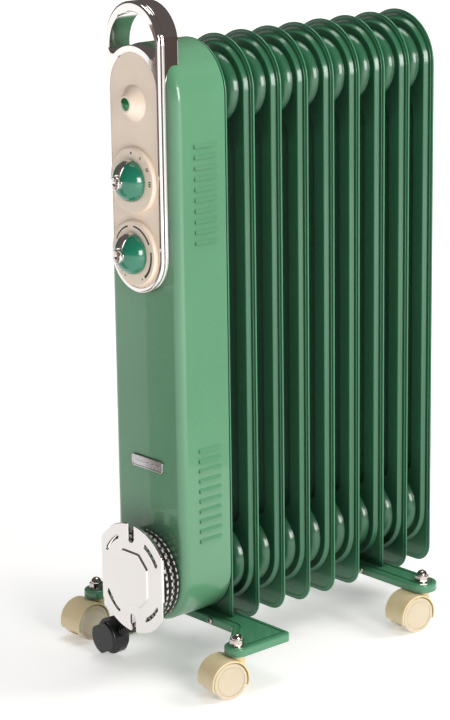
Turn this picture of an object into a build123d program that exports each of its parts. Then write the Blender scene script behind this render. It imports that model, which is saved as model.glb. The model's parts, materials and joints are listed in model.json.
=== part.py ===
from build123d import *
import math
import os

# Oil filled radiator heater: nine pressed steel fins on two hub lines, a control housing with a
# handle and a cord winder at the front, two pressed feet and four twin-wheel casters.
# Millimetres. +Z is up, the floor is z = 0, -Y is the front (controls), +X is the viewer's right
# from the front. The origin is the middle of the footprint.

# ---------------------------------------------------------------- driving dimensions
sheet = 0.7                     # steel of one fin pressing
fin_count = 9
fin_pitch = 36.0
fin_width = 104.0
fin_height = 600.0
fin_corner_r = 20.0             # lower corners of a fin
ground_clearance = 37.0         # floor to the fins' lower edge
flange_width = 6.0              # flat welded margin round a fin
channel_height = 5.0            # oil channel above the seam, each side
channel_draft = 30.0            # slope of the channel's outer side, degrees
channel_edge_r = 1.8
recess_half_width = 27.0        # sunk middle panel of a fin
recess_hub_gap = 39.0           # hub centre to the end of the sunk panel
recess_corner_r = 15.0
recess_draft = 25.0
hub_rise = 59.0                 # lower edge of a fin to the lower hub's centre
hub_base_r = 36.0
hub_neck_r = 22.0
port_r = 16.0                   # oil passage through the hubs

foot_sheet = 1.5
foot_skirt = 8.5                # outer height of a pressed foot
foot_depth = 31.0               # front to back width of a foot's bar
foot_edge_r = 2.2
foot_groove = (5.0, 8.0)        # pressed groove, from and to the outline
foot_groove_depth = 0.7
front_arm_reach = 47.0          # front stems ahead of fin 1
front_arm_r = 13.0
front_arm_start = 70.0          # half width where the arms leave the bar
rear_foot_fin = 7               # the fin that the rear foot carries
slot_clearance = 0.5            # fin flange in a foot's slot
bolt_half_spacing = 35.0
bolt_r = 2.0
bolt_hole_r = 2.2
bolt_head_r = 3.6
bolt_head_height = 2.2

stem_half_spacing = 111.0
stem_r = 4.0
stem_clearance = 0.05           # swivel fit of a stem in its hood
stem_depth = 18.0               # length of a stem inside its hood
stud_r = 3.9
stud_hole_r = 4.2
collar_r = 7.0
collar_height = 5.0
nut_across_flats = 13.0
nut_height = 5.0
nut_flange_r = 7.6
nut_flange_height = 1.4
nut_dome_r = 5.8
nut_bore_height = 7.5
wheel_r = 19.0
wheel_width = 9.2
wheel_gap = 0.3                 # wheel to hood web, and wheel face inside the hood's side
hood_gap = 1.0                  # hood lining to tread
hood_wall = 1.5
hood_web = 11.0                 # web between the two wheels
hood_cut_height = 12.0          # floor to the hood's lower edge
hood_boss_r = 8.0
caster_trail = 16.0             # stem axis to wheel axle
swivel_gap = 0.5                # hood boss to stem collar
axle_r = 2.5
axle_clearance = 0.05
wheel_skin = 1.6                # closed outer face of a wheel
front_right_turn = -11.0        # degrees that each caster rests turned about its stem
rear_right_turn = -8.0
front_left_turn = 0.0
rear_left_turn = 11.0

housing_width = 105.0
housing_depth = 62.0
housing_wall = 1.0
housing_edge_r = 9.0            # rounded front edge of the housing
housing_fin_gap = 2.0           # fin 1's seam to the housing's open back
housing_foot_gap = 0.5
channel_gap = 0.4               # fin 1's channel to the housing's notched back edge
housing_top_rise = 1.0          # housing top above the fins' top
louvre_count = 10
louvre_pitch = 10.5
louvre_length = 28.0
louvre_reach = 1.6              # how far a louvre's lip stands out
louvre_rise = 4.5
louvre_front_gap = 22.0         # housing front to the louvres' front end
louvre_low_gap = 37.0           # housing's lower arc centre to the lower bank's lowest slit
louvre_high_gap = 46.0          # upper bank's highest slit to the housing's upper arc centre
mounting_sheet = 1.2
mounting_gap = 1.6              # mounting plate's edge inside the housing
hub_hole_gap = 1.5
boss_r = 5.0
boss_half_spacing = 20.0
boss_gaps = (66.0, 67.0)        # low bosses above the winder, high bosses below the bezel's arc
screw_r = 2.0
screw_hole_r = 2.2
screw_head_r = 4.0
screw_head_height = 2.4
screw_length = 18.0
badge_size = (47.5, 12.3, 2.0)
badge_rise = 116.0              # winder's centre to the badge's
badge_rim = 1.3
badge_sink = 0.6
badge_bar = (6.0, 1.4)          # length and width of a raised badge bar

bezel_half_width = 40.0
bezel_height = 9.0              # bezel's front face ahead of the housing
bezel_length = 205.0            # between the bezel's arc centres
handle_rise = 1.0               # housing top to the handle's upper arc centre
bezel_front_r = 2.2
cove_r = 1.7
cove_depth = 5.2                # bezel front to the cove's centre
opening_half_width = 34.5       # finger opening
opening_drop = 4.5              # handle's arc centre to the finger opening's
opening_corner_r = 5.0
bridge_width = 7.0              # between the panel and the finger opening
handle_split = 13.0             # front half of the handle, front to back
handle_depth = 26.0
handle_rear_r = 3.0
handle_fit = 0.2                # handle to housing

panel_half_width = 35.0
panel_fit = 0.15
panel_drop = 44.0               # handle's arc centre to the panel's
panel_sheet = 2.5
panel_setback = 1.0             # panel face behind the bezel's front
panel_opening_half = 29.0       # opening in the housing behind the panel
dial_r = 32.5
dial_height = 5.0
dial_edge_r = 1.6
dial_spacing = 72.0             # thermostat's axis to the power switch's
lamp_rise = 75.0                # power switch's axis to the lamp's
lamp_cone_base_r = 18.0
lamp_cone_tip_r = 8.2
lamp_cone_height = 11.0
lens_r = 6.4
lens_seat_depth = 5.0
lens_rise = 2.2
lamp_r = 4.0
lamp_length = 18.0
lamp_lens_gap = 0.5
knob_r = 20.5
knob_skirt = 2.4
knob_height = 16.0
knob_top_r = 7.6
knob_bulge = 2.6
knob_gap = 0.6                  # knob to dial
pointer_width = 7.5
pointer_proud = 1.1
pointer_sunk = 1.0
hub_r = 6.75
hub_height = 21.4
hub_dimple = (2.5, 1.6)         # radius and depth of the hub's recess
shaft_r = 3.0
shaft_clearance = 0.05
shaft_depth_in_knob = 12.0
shaft_depth_in_body = 10.0
bushing_r = 5.0
bushing_clearance = 0.1
bushing_end_gap = 0.4
switch_size = (32.0, 22.0, 30.0)
thermostat_size = (36.0, 26.0, 24.0)
blade_tab = (6.3, 8.0, 0.8)     # push-on terminal: width, length, thickness

winder_rise = 51.0              # feet's upper face to the winder's centre
drum_r = 32.5
drum_wall = 2.5
cord_r = 3.5
strand_count = 3
layer_count = 2
coil_fit = 0.1
strand_end_gap = 0.75
winder_plate_r = 57.5
winder_plate_half_width = 47.5
winder_plate_sheet = 2.5
winder_corner_r = 7.0
winder_notch = (8.7, 19.0)      # width and depth of the cord notches
winder_slot = (44.5, 3.6, 15.0, 46.0)   # radius, width, half span and direction in degrees
winder_step = (52.0, 58.0, 13.0, 1.8)   # width, height, corner and rise of the raised middle
gland_length = 20.0
gland_base_r = 8.0
gland_tip_r = 5.0

relief_length = 27.0
relief_base_r = 6.6
relief_ribs = 6
relief_rib_depth = 0.8
plug_r = 19.0
plug_thickness = 22.0
plug_face_r = 16.6
plug_edge_r = 3.0
plug_grip_cut = 4.5             # flats beside the plug's grip
pin_r = 2.4
pin_length = 19.0
pin_half_spacing = 9.5
earth_width = 7.0
earth_depth = 3.0

element_r = 3.5
element_half_width = 5.0
element_leg_half_gap = 8.0
element_reach = 250.0
heater_flange_r = 20.5
heater_flange_thickness = 6.0
heater_hex = 30.0
heater_hex_height = 7.0
heater_pin_r = 1.5
heater_pin_length = 9.0
cutout_r = 9.0
cutout_height = 8.0
cutout_at = (-33.0, 144.0)      # X, and height above the winder's centre
terminal_size = (30.0, 16.0, 18.0)
terminal_rise = 189.0           # winder's centre to the terminal block's
wire_r = 1.2
wire_bend_r = 6.0
wire_pin_gap = 2.0              # supply wires ahead of the heater's pins

# The cord's free end: chosen points from the winding to the plug's strain relief.
tail_route = [(24.7, -184.0, 65.8), (3.4, -184.0, 51.0), (-14.0, -184.0, 41.6)]

# ---------------------------------------------------------------- derived places
outline_r = fin_width / 2
channel_r = outline_r - flange_width
low_hub_z = ground_clearance + hub_rise
high_hub_z = ground_clearance + fin_height - outline_r
fin_top_z = ground_clearance + fin_height
seat_z = low_hub_z - channel_r          # feet's upper face, under the fins' channels
half_pitch = fin_pitch / 2

knob_reach = (housing_fin_gap + housing_depth + bezel_height - panel_setback + dial_height
              + knob_gap + hub_height)
rear_reach = (fin_count - 1) * fin_pitch + half_pitch
fin_1_y = (knob_reach - rear_reach) / 2
rear_foot_y = fin_1_y + (rear_foot_fin - 1) * fin_pitch

housing_r = housing_width / 2
housing_back_y = fin_1_y - housing_fin_gap
housing_front_y = housing_back_y - housing_depth
housing_low_z = seat_z + housing_foot_gap + housing_r
housing_high_z = fin_top_z + housing_top_rise - housing_r
louvre_low_z = housing_low_z + louvre_low_gap
louvre_high_z = housing_high_z - louvre_high_gap - (louvre_count - 1) * louvre_pitch
mounting_back_y = fin_1_y - channel_height
mounting_front_y = mounting_back_y - mounting_sheet

bezel_front_y = housing_front_y - bezel_height
split_y = bezel_front_y + handle_split
handle_back_y = bezel_front_y + handle_depth
panel_front_y = bezel_front_y + panel_setback
panel_back_y = panel_front_y + panel_sheet
dial_front_y = panel_front_y - dial_height
knob_back_y = dial_front_y - knob_gap
bezel_high_z = fin_top_z + housing_top_rise + handle_rise
bezel_low_z = bezel_high_z - bezel_length
opening_high_z = bezel_high_z - opening_drop
panel_high_z = bezel_high_z - panel_drop
thermostat_z = bezel_low_z
power_z = thermostat_z + dial_spacing
lamp_z = power_z + lamp_rise

winder_z = seat_z + winder_rise
badge_z = winder_z + badge_rise
boss_heights = (winder_z + boss_gaps[0], bezel_low_z - boss_gaps[1])
cutout_z = winder_z + cutout_at[1]
terminal_z = winder_z + terminal_rise
coil_inner_r = drum_r + coil_fit
coil_outer_r = coil_inner_r + layer_count * 2 * cord_r
coil_back_y = housing_front_y - strand_end_gap
coil_front_y = coil_back_y - strand_count * 2 * cord_r
winder_back_y = coil_front_y - strand_end_gap

hood_r = wheel_r + hood_gap + hood_wall
hood_top_z = seat_z - foot_sheet - collar_height - swivel_gap
stem_low_z = hood_top_z - stem_depth


# ---------------------------------------------------------------- shared shapes
def facing_front(y):
    """Plane at y whose drawing axes are X and Z, seen from the front."""
    return Plane.XZ.offset(-y)


def slab(outline, back_y, depth, taper=0.0):
    """Outline drawn in X and Z, given depth from back_y towards the front."""
    return extrude(facing_front(back_y) * outline, depth, taper=taper)


def stadium(half_width, low_z, high_z):
    """Upright outline with half round ends centred on low_z and high_z."""
    shape = SlotCenterToCenter(high_z - low_z, 2 * half_width, rotation=90)
    return Pos(0, (low_z + high_z) / 2) * shape


def rod_y(x, z, back_y, front_y, radius):
    """Round bar along Y."""
    return slab(Pos(x, z) * Circle(radius), back_y, back_y - front_y)


def block(x_range, y_range, z_range):
    """Rectangular block between pairs of limits."""
    (x0, x1), (y0, y1), (z0, z1) = x_range, y_range, z_range
    middle = Pos((x0 + x1) / 2, (y0 + y1) / 2, (z0 + z1) / 2)
    return middle * Box(x1 - x0, y1 - y0, z1 - z0)


def turned_y(points, x, z, back_y):
    """Solid turned about an axis along Y: (radius, distance ahead of back_y) corners."""
    profile = make_face(Polyline(*[(r, -d) for r, d in points], close=True))
    return Pos(x, back_y, z) * revolve(profile, Axis.Y)


def front_rim(solid):
    """Edges of a solid's foremost face."""
    return solid.faces().sort_by(Axis.Y)[0].edges()


# ---------------------------------------------------------------- fins
def fin_outline():
    """Flat bottomed fin with a half round top."""
    body_height = fin_height - outline_r
    body = Pos(0, ground_clearance + body_height / 2) * Rectangle(fin_width, body_height)
    lower_corners = body.vertices().sort_by(Axis.Y)[:2]
    return fillet(lower_corners, fin_corner_r) + Pos(0, high_hub_z) * Circle(outline_r)


def fin_channel(skin):
    """Raised oil channel with its sunk middle, its faces moved in by skin."""
    height = channel_height - skin
    channel = slab(stadium(channel_r - skin, low_hub_z, high_hub_z), 0, height, channel_draft)
    channel = fillet(front_rim(channel), channel_edge_r - skin)
    floor = sheet if skin == 0 else 0.0
    recess_low = low_hub_z + recess_hub_gap - skin
    recess_high = high_hub_z - recess_hub_gap + skin
    recess = RectangleRounded(2 * (recess_half_width + skin), recess_high - recess_low,
                              recess_corner_r + skin)
    recess = Pos(0, (recess_low + recess_high) / 2) * recess
    return channel - slab(recess, -floor, channel_height, -recess_draft)


def fin_hub(z, skin):
    """Domed hub that reaches half way to the next fin, its faces moved in by skin."""
    base = hub_base_r - skin
    neck = hub_neck_r - skin
    shoulder = half_pitch - 2.0
    start = 0.0 if skin else sheet
    middle = ((base + neck) / 2 + 2.2, (channel_height + shoulder) / 2 + 2.2)
    outline = [
        Line((0, -start), (base, -start)),
        Line((base, -start), (base, -channel_height)),
        ThreePointArc((base, -channel_height), (middle[0], -middle[1]), (neck, -shoulder)),
        Line((neck, -shoulder), (neck, skin - half_pitch)),
        Line((neck, skin - half_pitch), (0, skin - half_pitch)),
        Line((0, skin - half_pitch), (0, -start)),
    ]
    return Pos(0, 0, z) * revolve(make_face(outline), Axis.Y)


def fin_half(ports, bolted):
    """Front pressing of a fin with its seam at y = 0; ports are the hubs left open."""
    hubs = (low_hub_z, high_hub_z)
    outer = slab(fin_outline(), 0, sheet) + fin_channel(0.0)
    inner = fin_channel(sheet)
    for z in hubs:
        outer += fin_hub(z, 0.0)
        inner += fin_hub(z, sheet)
    half = outer - inner
    for z in ports:
        half -= rod_y(0, z, 0, -fin_pitch, port_r)
    if bolted:
        for side in (-1, 1):
            half -= rod_y(side * bolt_half_spacing, bolt_z(), 1, -fin_pitch, bolt_hole_r)
    return half


def bolt_z():
    """Height of the cross bolts through a foot's flanges."""
    return seat_z - foot_skirt / 2


def fins():
    """All fins: two pressings each, welded at the seam."""
    both = (low_hub_z, high_hub_z)
    plain = fin_half(both, False)
    bolted = fin_half(both, True)
    made = {}
    for number in range(1, fin_count + 1):
        held = number in (1, rear_foot_fin)
        front = bolted if held else plain
        if number == 1:
            front = fin_half((low_hub_z,), True)
        back = bolted if held else plain
        if number == fin_count:
            back = fin_half((), held)
        place = Pos(0, fin_1_y + (number - 1) * fin_pitch, 0)
        made[f"fin_{number}"] = [place * front, place * mirror(back, about=Plane.XZ)]
    return made


# ---------------------------------------------------------------- heating element
def heating_element():
    """Two hairpin tubes along the lower hub line."""
    hairpins = []
    bend_r = element_leg_half_gap
    start_y = fin_1_y - half_pitch
    bend_y = start_y + element_reach
    for side in (-1, 1):
        x = side * element_half_width
        low = (x, start_y, low_hub_z - bend_r)
        low_end = (x, bend_y, low_hub_z - bend_r)
        tip = (x, bend_y + bend_r, low_hub_z)
        high_end = (x, bend_y, low_hub_z + bend_r)
        high = (x, start_y, low_hub_z + bend_r)
        path = Line(low, low_end) + ThreePointArc(low_end, tip, high_end) + Line(high_end, high)
        section = Plane(origin=low, z_dir=(0, 1, 0)) * Circle(element_r)
        hairpins.append(sweep(section, path=path))
    return hairpins


def heater_flange():
    """Hexagon flange that closes the lower hub and carries the element's terminals."""
    back_y = fin_1_y - half_pitch
    flange = rod_y(0, low_hub_z, back_y, back_y - heater_flange_thickness, heater_flange_r)
    hexagon = Pos(0, low_hub_z) * RegularPolygon(heater_hex / 2, 6, major_radius=False)
    front_y = back_y - heater_flange_thickness
    flange += slab(hexagon, front_y, heater_hex_height)
    pin_y = front_y - heater_hex_height
    for side in (-1, 1):
        for rise in (-1, 1):
            flange += rod_y(side * element_half_width, low_hub_z + rise * element_leg_half_gap,
                            pin_y, pin_y - heater_pin_length, heater_pin_r)
    return [flange]


# ---------------------------------------------------------------- control housing
def housing_block(inset):
    """Solid housing form with a rounded front, its faces moved in by inset."""
    outline = stadium(housing_r - inset, housing_low_z, housing_high_z)
    body = slab(outline, housing_back_y, housing_depth - inset)
    return fillet(front_rim(body), housing_edge_r - inset)


def louvre(side, z):
    """Lip to add and slit to cut for one louvre on one side of the housing."""
    front_y = housing_front_y + louvre_front_gap
    lip = [(housing_r - housing_wall / 2, z + louvre_rise), (housing_r, z + louvre_rise),
           (housing_r + louvre_reach, z + 0.8), (housing_r + louvre_reach, z),
           (housing_r - housing_wall / 2, z)]
    slit = [(housing_r - housing_wall - 0.5, z + louvre_rise - 1.2),
            (housing_r + louvre_reach - housing_wall, z + 0.3),
            (housing_r + louvre_reach - housing_wall, z - 0.2),
            (housing_r - housing_wall - 0.5, z - 0.2)]
    place = Plane.XZ.offset(-front_y - louvre_length)
    shapes = []
    for corners, trim in ((lip, 0.0), (slit, housing_wall)):
        face = make_face(Polyline(*[(side * x, h) for x, h in corners], close=True))
        solid = extrude(place * face, louvre_length - 2 * trim)
        shapes.append(Pos(0, -trim, 0) * solid)
    return shapes


def control_housing():
    """Sheet steel housing with louvred sides, screw bosses and openings at the front."""
    lips = []
    slits = []
    for low_z in (louvre_low_z, louvre_high_z):
        for step in range(louvre_count):
            for side in (-1, 1):
                lip, slit = louvre(side, low_z + step * louvre_pitch)
                lips.append(lip)
                slits.append(slit)
    shell = housing_block(0.0) - housing_block(housing_wall)
    shell = shell + lips
    for z in boss_heights:
        for side in (-1, 1):
            shell += rod_y(side * boss_half_spacing, z, mounting_front_y,
                           housing_front_y + housing_wall / 2, boss_r)
    shell = shell - slits
    for z in boss_heights:
        for side in (-1, 1):
            shell -= rod_y(side * boss_half_spacing, z, mounting_front_y + 1,
                           mounting_back_y - screw_length, screw_r)
    opening = stadium(panel_opening_half, bezel_low_z, panel_high_z)
    shell -= slab(opening, housing_front_y + housing_wall + 1, housing_wall + 2)
    shell -= rod_y(0, winder_z, housing_front_y + housing_wall + 1, housing_front_y - 1, gland_base_r)
    channel_room = stadium(channel_r + channel_gap, low_hub_z, high_hub_z)
    shell -= slab(channel_room, housing_back_y + 1, channel_height)
    return [shell]


def mounting_plate():
    """Back plate of the housing, welded against fin 1's channel."""
    edge = housing_r - housing_wall - mounting_gap
    plate = slab(stadium(edge, housing_low_z, housing_high_z), mounting_back_y, mounting_sheet)
    for z in (low_hub_z, high_hub_z):
        plate -= rod_y(0, z, mounting_back_y + 1, mounting_front_y - 1, hub_base_r + hub_hole_gap)
    for z in boss_heights:
        for side in (-1, 1):
            plate -= rod_y(side * boss_half_spacing, z, mounting_back_y + 1,
                           mounting_front_y - 1, screw_hole_r)
    return [plate]


def housing_screws():
    """Pan head screws from the mounting plate into the housing's bosses."""
    screws = []
    for z in boss_heights:
        for side in (-1, 1):
            x = side * boss_half_spacing
            head = rod_y(x, z, mounting_back_y + screw_head_height, mounting_back_y, screw_head_r)
            head = fillet(head.faces().sort_by(Axis.Y)[-1].edges(), 0.8)
            drive = Pos(x, mounting_back_y + screw_head_height, z) * Box(0.9, 1.6, 5.0)
            shank = rod_y(x, z, mounting_back_y, mounting_back_y - screw_length, screw_r)
            screws.append(head - drive + shank)
    return screws


def badge():
    """Blank badge with a raised rim and a row of plain bars."""
    width, height, thickness = badge_size
    plate = slab(Pos(0, badge_z) * RectangleRounded(width, height, 3.0), housing_front_y, thickness)
    plate = fillet(front_rim(plate), 0.5)
    sunk = RectangleRounded(width - 2 * badge_rim, height - 2 * badge_rim, 3.0 - badge_rim)
    plate -= slab(Pos(0, badge_z) * sunk, housing_front_y - thickness + badge_sink, thickness)
    bar_length, bar_width = badge_bar
    for step in range(-2, 3):
        bar = Pos(step * (bar_length + 2.0), badge_z) * Rectangle(bar_length, bar_width)
        plate += slab(bar, housing_front_y - thickness + badge_sink, badge_sink / 2)
    return [plate]


# ---------------------------------------------------------------- handle
def finger_opening():
    """Opening of the handle: round above, bounded below by the arch over the panel."""
    shape = stadium(opening_half_width, panel_high_z, opening_high_z)
    shape -= Pos(0, panel_high_z) * Circle(panel_half_width + bridge_width)
    lower = shape.vertices().sort_by(Axis.Y)[:2]
    return fillet(lower, opening_corner_r)


def handle_front():
    """Chrome surround of the panel, which runs up into the front half of the handle."""
    outline = stadium(bezel_half_width, bezel_low_z, bezel_high_z)
    ring = slab(outline, split_y, handle_split)
    ring = fillet(front_rim(ring), bezel_front_r)
    ring -= slab(stadium(panel_half_width, bezel_low_z, panel_high_z), split_y + 1, handle_split + 2)
    ring -= slab(finger_opening(), split_y + 1, handle_split + 2)
    ring = chamfer(ring.faces().sort_by(Axis.Y)[0].inner_wires().edges(), 0.7)
    cove_path = (facing_front(bezel_front_y + cove_depth) * outline).wire()
    start = cove_path @ 0
    cove = sweep(Plane(origin=start, z_dir=cove_path % 0) * Circle(cove_r), path=cove_path)
    return [ring - cove - housing_block(-handle_fit)]


def handle_rear():
    """Rear half of the handle, standing on the housing's arch."""
    loop = slab(stadium(bezel_half_width, bezel_low_z, bezel_high_z), handle_back_y,
                handle_depth - handle_split)
    back_edges = loop.faces().sort_by(Axis.Y)[-1].edges()
    loop = fillet(back_edges, handle_rear_r)
    loop -= slab(finger_opening(), handle_back_y + 1, handle_depth)
    loop -= block((-bezel_half_width, bezel_half_width), (split_y - 1, handle_back_y + 1),
                  (0, panel_high_z - panel_half_width))
    loop -= housing_block(-handle_fit)
    return [solid for solid in loop.solids() if solid.bounding_box().max.Z > bezel_high_z]


# ---------------------------------------------------------------- control panel
def control_panel():
    """Cream panel with two raised dials and the lamp's cone."""
    outline = stadium(panel_half_width - panel_fit, bezel_low_z, panel_high_z)
    panel = slab(outline, housing_front_y - handle_fit, panel_back_y - panel_front_y
                 + housing_front_y - handle_fit - panel_back_y)
    hollow = stadium(panel_half_width - panel_sheet, bezel_low_z, panel_high_z)
    panel -= slab(hollow, housing_front_y, housing_front_y - panel_back_y)
    for z in (thermostat_z, power_z):
        dial = rod_y(0, z, panel_back_y, dial_front_y, dial_r)
        panel += fillet(front_rim(dial), dial_edge_r)
    cone = turned_y([(0, 0), (lamp_cone_base_r, 0), (lamp_cone_base_r, panel_sheet),
                     (lamp_cone_tip_r + 0.8, panel_sheet + lamp_cone_height - 0.8),
                     (lamp_cone_tip_r, panel_sheet + lamp_cone_height),
                     (0, panel_sheet + lamp_cone_height)], 0, lamp_z, panel_back_y)
    panel += cone
    cone_tip_y = panel_front_y - lamp_cone_height
    panel -= rod_y(0, lamp_z, cone_tip_y + lens_seat_depth, cone_tip_y - 1, lens_r)
    panel -= rod_y(0, lamp_z, panel_back_y + 1, cone_tip_y, lamp_r + bushing_clearance)
    for z in (thermostat_z, power_z):
        panel -= rod_y(0, z, panel_back_y + 1, dial_front_y - 1, bushing_r + bushing_clearance)
    return [panel]


def indicator_lens():
    """Domed jewel seated in the cone's tip."""
    back_y = panel_front_y - lamp_cone_height + lens_seat_depth
    body = rod_y(0, lamp_z, back_y, back_y - lens_seat_depth, lens_r)
    dome_r = (lens_r ** 2 + lens_rise ** 2) / (2 * lens_rise)
    ball = Pos(0, back_y - lens_seat_depth - lens_rise + dome_r, lamp_z) * Sphere(dome_r)
    front = rod_y(0, lamp_z, back_y - lens_seat_depth, back_y - lens_seat_depth - 2 * lens_rise, lens_r)
    return [body + (front & ball)]


def indicator_lamp():
    """Neon lamp with its two leads, behind the jewel."""
    front_y = panel_front_y - lamp_cone_height + lens_seat_depth + lamp_lens_gap
    bulb = rod_y(0, lamp_z, front_y + lamp_length, front_y, lamp_r)
    bulb = fillet(front_rim(bulb), lamp_r * 0.6)
    for side in (-1, 1):
        bulb += rod_y(side * lamp_r / 2, lamp_z, front_y + lamp_length + 8, front_y + lamp_length, 0.4)
    return [bulb]


def knob_profile(offset):
    """Domed knob outline, its faces moved out by offset: radius and depth ahead of its back."""
    rim = (knob_r + offset, -knob_skirt)
    top = (knob_top_r + offset / 2, -knob_height - offset)
    middle = ((rim[0] + top[0]) / 2 + knob_bulge * 0.7, (rim[1] + top[1]) / 2 - knob_bulge * 0.7)
    edges = [Line((0, 0), (rim[0], 0)), Line((rim[0], 0), rim), ThreePointArc(rim, middle, top),
             Line(top, (0, top[1])), Line((0, top[1]), (0, 0))]
    return make_face(edges)


def knob_parts(z):
    """Knob, its chrome pointer with hub, and its shaft."""
    place = Pos(0, knob_back_y, z)
    dome = revolve(knob_profile(0.0), Axis.Y)
    band = revolve(knob_profile(pointer_proud), Axis.Y) - revolve(knob_profile(-pointer_sunk), Axis.Y)
    strip = block((-pointer_width / 2, pointer_width / 2), (-hub_height, -knob_skirt / 2),
                  (0, knob_r + pointer_proud))
    hub = rod_y(0, 0, -shaft_depth_in_knob, -hub_height, hub_r)
    hub = fillet(front_rim(hub), 1.0)
    dimple_r, dimple_depth = hub_dimple
    hub -= rod_y(0, 0, -hub_height + dimple_depth, -hub_height - 1, dimple_r)
    pointer = (band & strip) + hub
    bore = rod_y(0, 0, 0, -shaft_depth_in_knob, shaft_r)
    knob = dome - pointer - bore
    shaft = rod_y(0, 0, panel_back_y - knob_back_y + shaft_depth_in_body, -shaft_depth_in_knob, shaft_r)
    return [place * knob], [place * pointer], [place * shaft]


def panel_component(size, z, tab_count):
    """Switch or thermostat body behind the panel: bushing, shaft hole and push-on terminals."""
    width, depth, height = size
    body = block((-width / 2, width / 2), (panel_back_y, panel_back_y + depth),
                 (z - height / 2, z + height / 2))
    body = fillet(body.edges().filter_by(Axis.Y), 2.0)
    body += rod_y(0, z, panel_back_y, dial_front_y + bushing_end_gap, bushing_r)
    body -= rod_y(0, z, panel_back_y + shaft_depth_in_body + 0.5, dial_front_y - 1,
                  shaft_r + shaft_clearance)
    tab_width, tab_length, tab_thickness = blade_tab
    back_y = panel_back_y + depth
    for step in range(tab_count):
        x = (step - (tab_count - 1) / 2) * (tab_width + 3.0)
        body += block((x - tab_width / 2, x + tab_width / 2), (back_y, back_y + tab_length),
                      (z - tab_thickness / 2, z + tab_thickness / 2))
    return body


def selector_switch():
    """Rotary heat selector."""
    return [panel_component(switch_size, power_z, 3)]


def thermostat_body():
    """Bimetal thermostat with its blade frame on top."""
    body = panel_component(thermostat_size, thermostat_z, 2)
    width, depth, height = thermostat_size
    frame_z = thermostat_z + height / 2
    middle_y = panel_back_y + depth / 2
    body += block((-width / 2 + 4, width / 2 - 4), (middle_y - 4, middle_y + 4), (frame_z, frame_z + 4))
    return [body]


def thermal_cutout():
    """Safety cutout clipped to the mounting plate."""
    x = cutout_at[0]
    body = rod_y(x, cutout_z, mounting_front_y, mounting_front_y - cutout_height, cutout_r)
    tab_width, tab_length, tab_thickness = blade_tab
    front_y = mounting_front_y - cutout_height
    for rise in (-4.5, 4.5):
        body += block((x - tab_width / 2, x + tab_width / 2), (front_y - tab_length, front_y),
                      (cutout_z + rise - tab_thickness / 2, cutout_z + rise + tab_thickness / 2))
    return [body]


def terminal_block():
    """Three-way terminal block on the mounting plate."""
    width, depth, height = terminal_size
    body = block((-width / 2, width / 2), (mounting_front_y - depth, mounting_front_y),
                 (terminal_z - height / 2, terminal_z + height / 2))
    for step in (-1, 0, 1):
        body -= rod_y(step * width / 3, terminal_z, mounting_front_y - depth + 5,
                      mounting_front_y - depth - 1, 3.0)
    for step in (-0.5, 0.5):
        body -= block((step * width / 3 - 1, step * width / 3 + 1),
                      (mounting_front_y - depth - 1, mounting_front_y - depth + 7),
                      (terminal_z - height, terminal_z + height))
    return [body]


def wire(points):
    """Round wire along straight runs with small bends."""
    path = FilletPolyline(*points, radius=[min(wire_bend_r, r) for r in route_radii(points)])
    section = Plane(origin=path @ 0, z_dir=path % 0) * Circle(wire_r)
    return sweep(section, path=path)


def wiring_harness():
    """Wires from the winder to the terminals, the switches, the cutout and the element."""
    width, depth, height = terminal_size
    block_y = mounting_front_y - depth / 2
    block_low = terminal_z - height / 2
    block_high = terminal_z + height / 2
    inlet_y = housing_front_y + 1
    switch_back = panel_back_y + switch_size[1] + blade_tab[1]
    thermostat_back = panel_back_y + thermostat_size[1] + blade_tab[1]
    cutout_x = cutout_at[0]
    cutout_y = mounting_front_y - cutout_height - blade_tab[1]
    pin_y = fin_1_y - half_pitch - heater_flange_thickness - heater_hex_height - heater_pin_length
    turn_y = pin_y - wire_pin_gap
    tab_step = blade_tab[0] + 3.0
    wires = [
        wire([(4, inlet_y, winder_z), (4, turn_y, winder_z), (4, turn_y, block_low - 81),
              (width / 3, block_y, block_low - 51), (width / 3, block_y, block_low)]),
        wire([(-4, inlet_y, winder_z), (-4, turn_y, winder_z), (-4, turn_y, block_low - 76),
              (0, block_y, block_low - 46), (0, block_y, block_low)]),
        wire([(width / 3, block_y, block_high), (width / 3, block_y, power_z - 26),
              (tab_step, switch_back + 12, power_z), (tab_step, switch_back, power_z)]),
        wire([(0, block_y, block_high), (0, block_y, thermostat_z - 34),
              (tab_step / 2, thermostat_back + 8, thermostat_z),
              (tab_step / 2, thermostat_back, thermostat_z)]),
        wire([(cutout_x, cutout_y, cutout_z - 4.5), (cutout_x, cutout_y - 10, cutout_z - 4.5),
              (cutout_x, cutout_y - 10, low_hub_z + 34), (-element_half_width, pin_y - 8, low_hub_z + 8),
              (-element_half_width, pin_y, low_hub_z + 8)]),
    ]
    return wires


# ---------------------------------------------------------------- cord winder
def winder_drum():
    """Hollow drum that the cord is wound on."""
    drum = rod_y(0, winder_z, housing_front_y, winder_back_y, drum_r)
    drum -= rod_y(0, winder_z, housing_front_y + 1, winder_back_y + drum_wall, drum_r - drum_wall)
    gland_hole = Pos(0, (coil_back_y + coil_front_y) / 2, winder_z + drum_r)
    return [drum - gland_hole * Cylinder(gland_tip_r + 0.6, 4 * drum_wall)]


def cord_gland():
    """Tapered sleeve that leads the cord out through the drum's wall."""
    middle_y = (coil_back_y + coil_front_y) / 2
    low_z = winder_z + drum_r - gland_length
    gland = Pos(0, middle_y, low_z + gland_length / 2) * Cone(gland_base_r, gland_tip_r, gland_length)
    gland -= Pos(0, middle_y, low_z) * Cylinder(cord_r, 3 * gland_length)
    return [gland & rod_y(0, winder_z, housing_front_y, winder_back_y, drum_r)]


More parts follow.
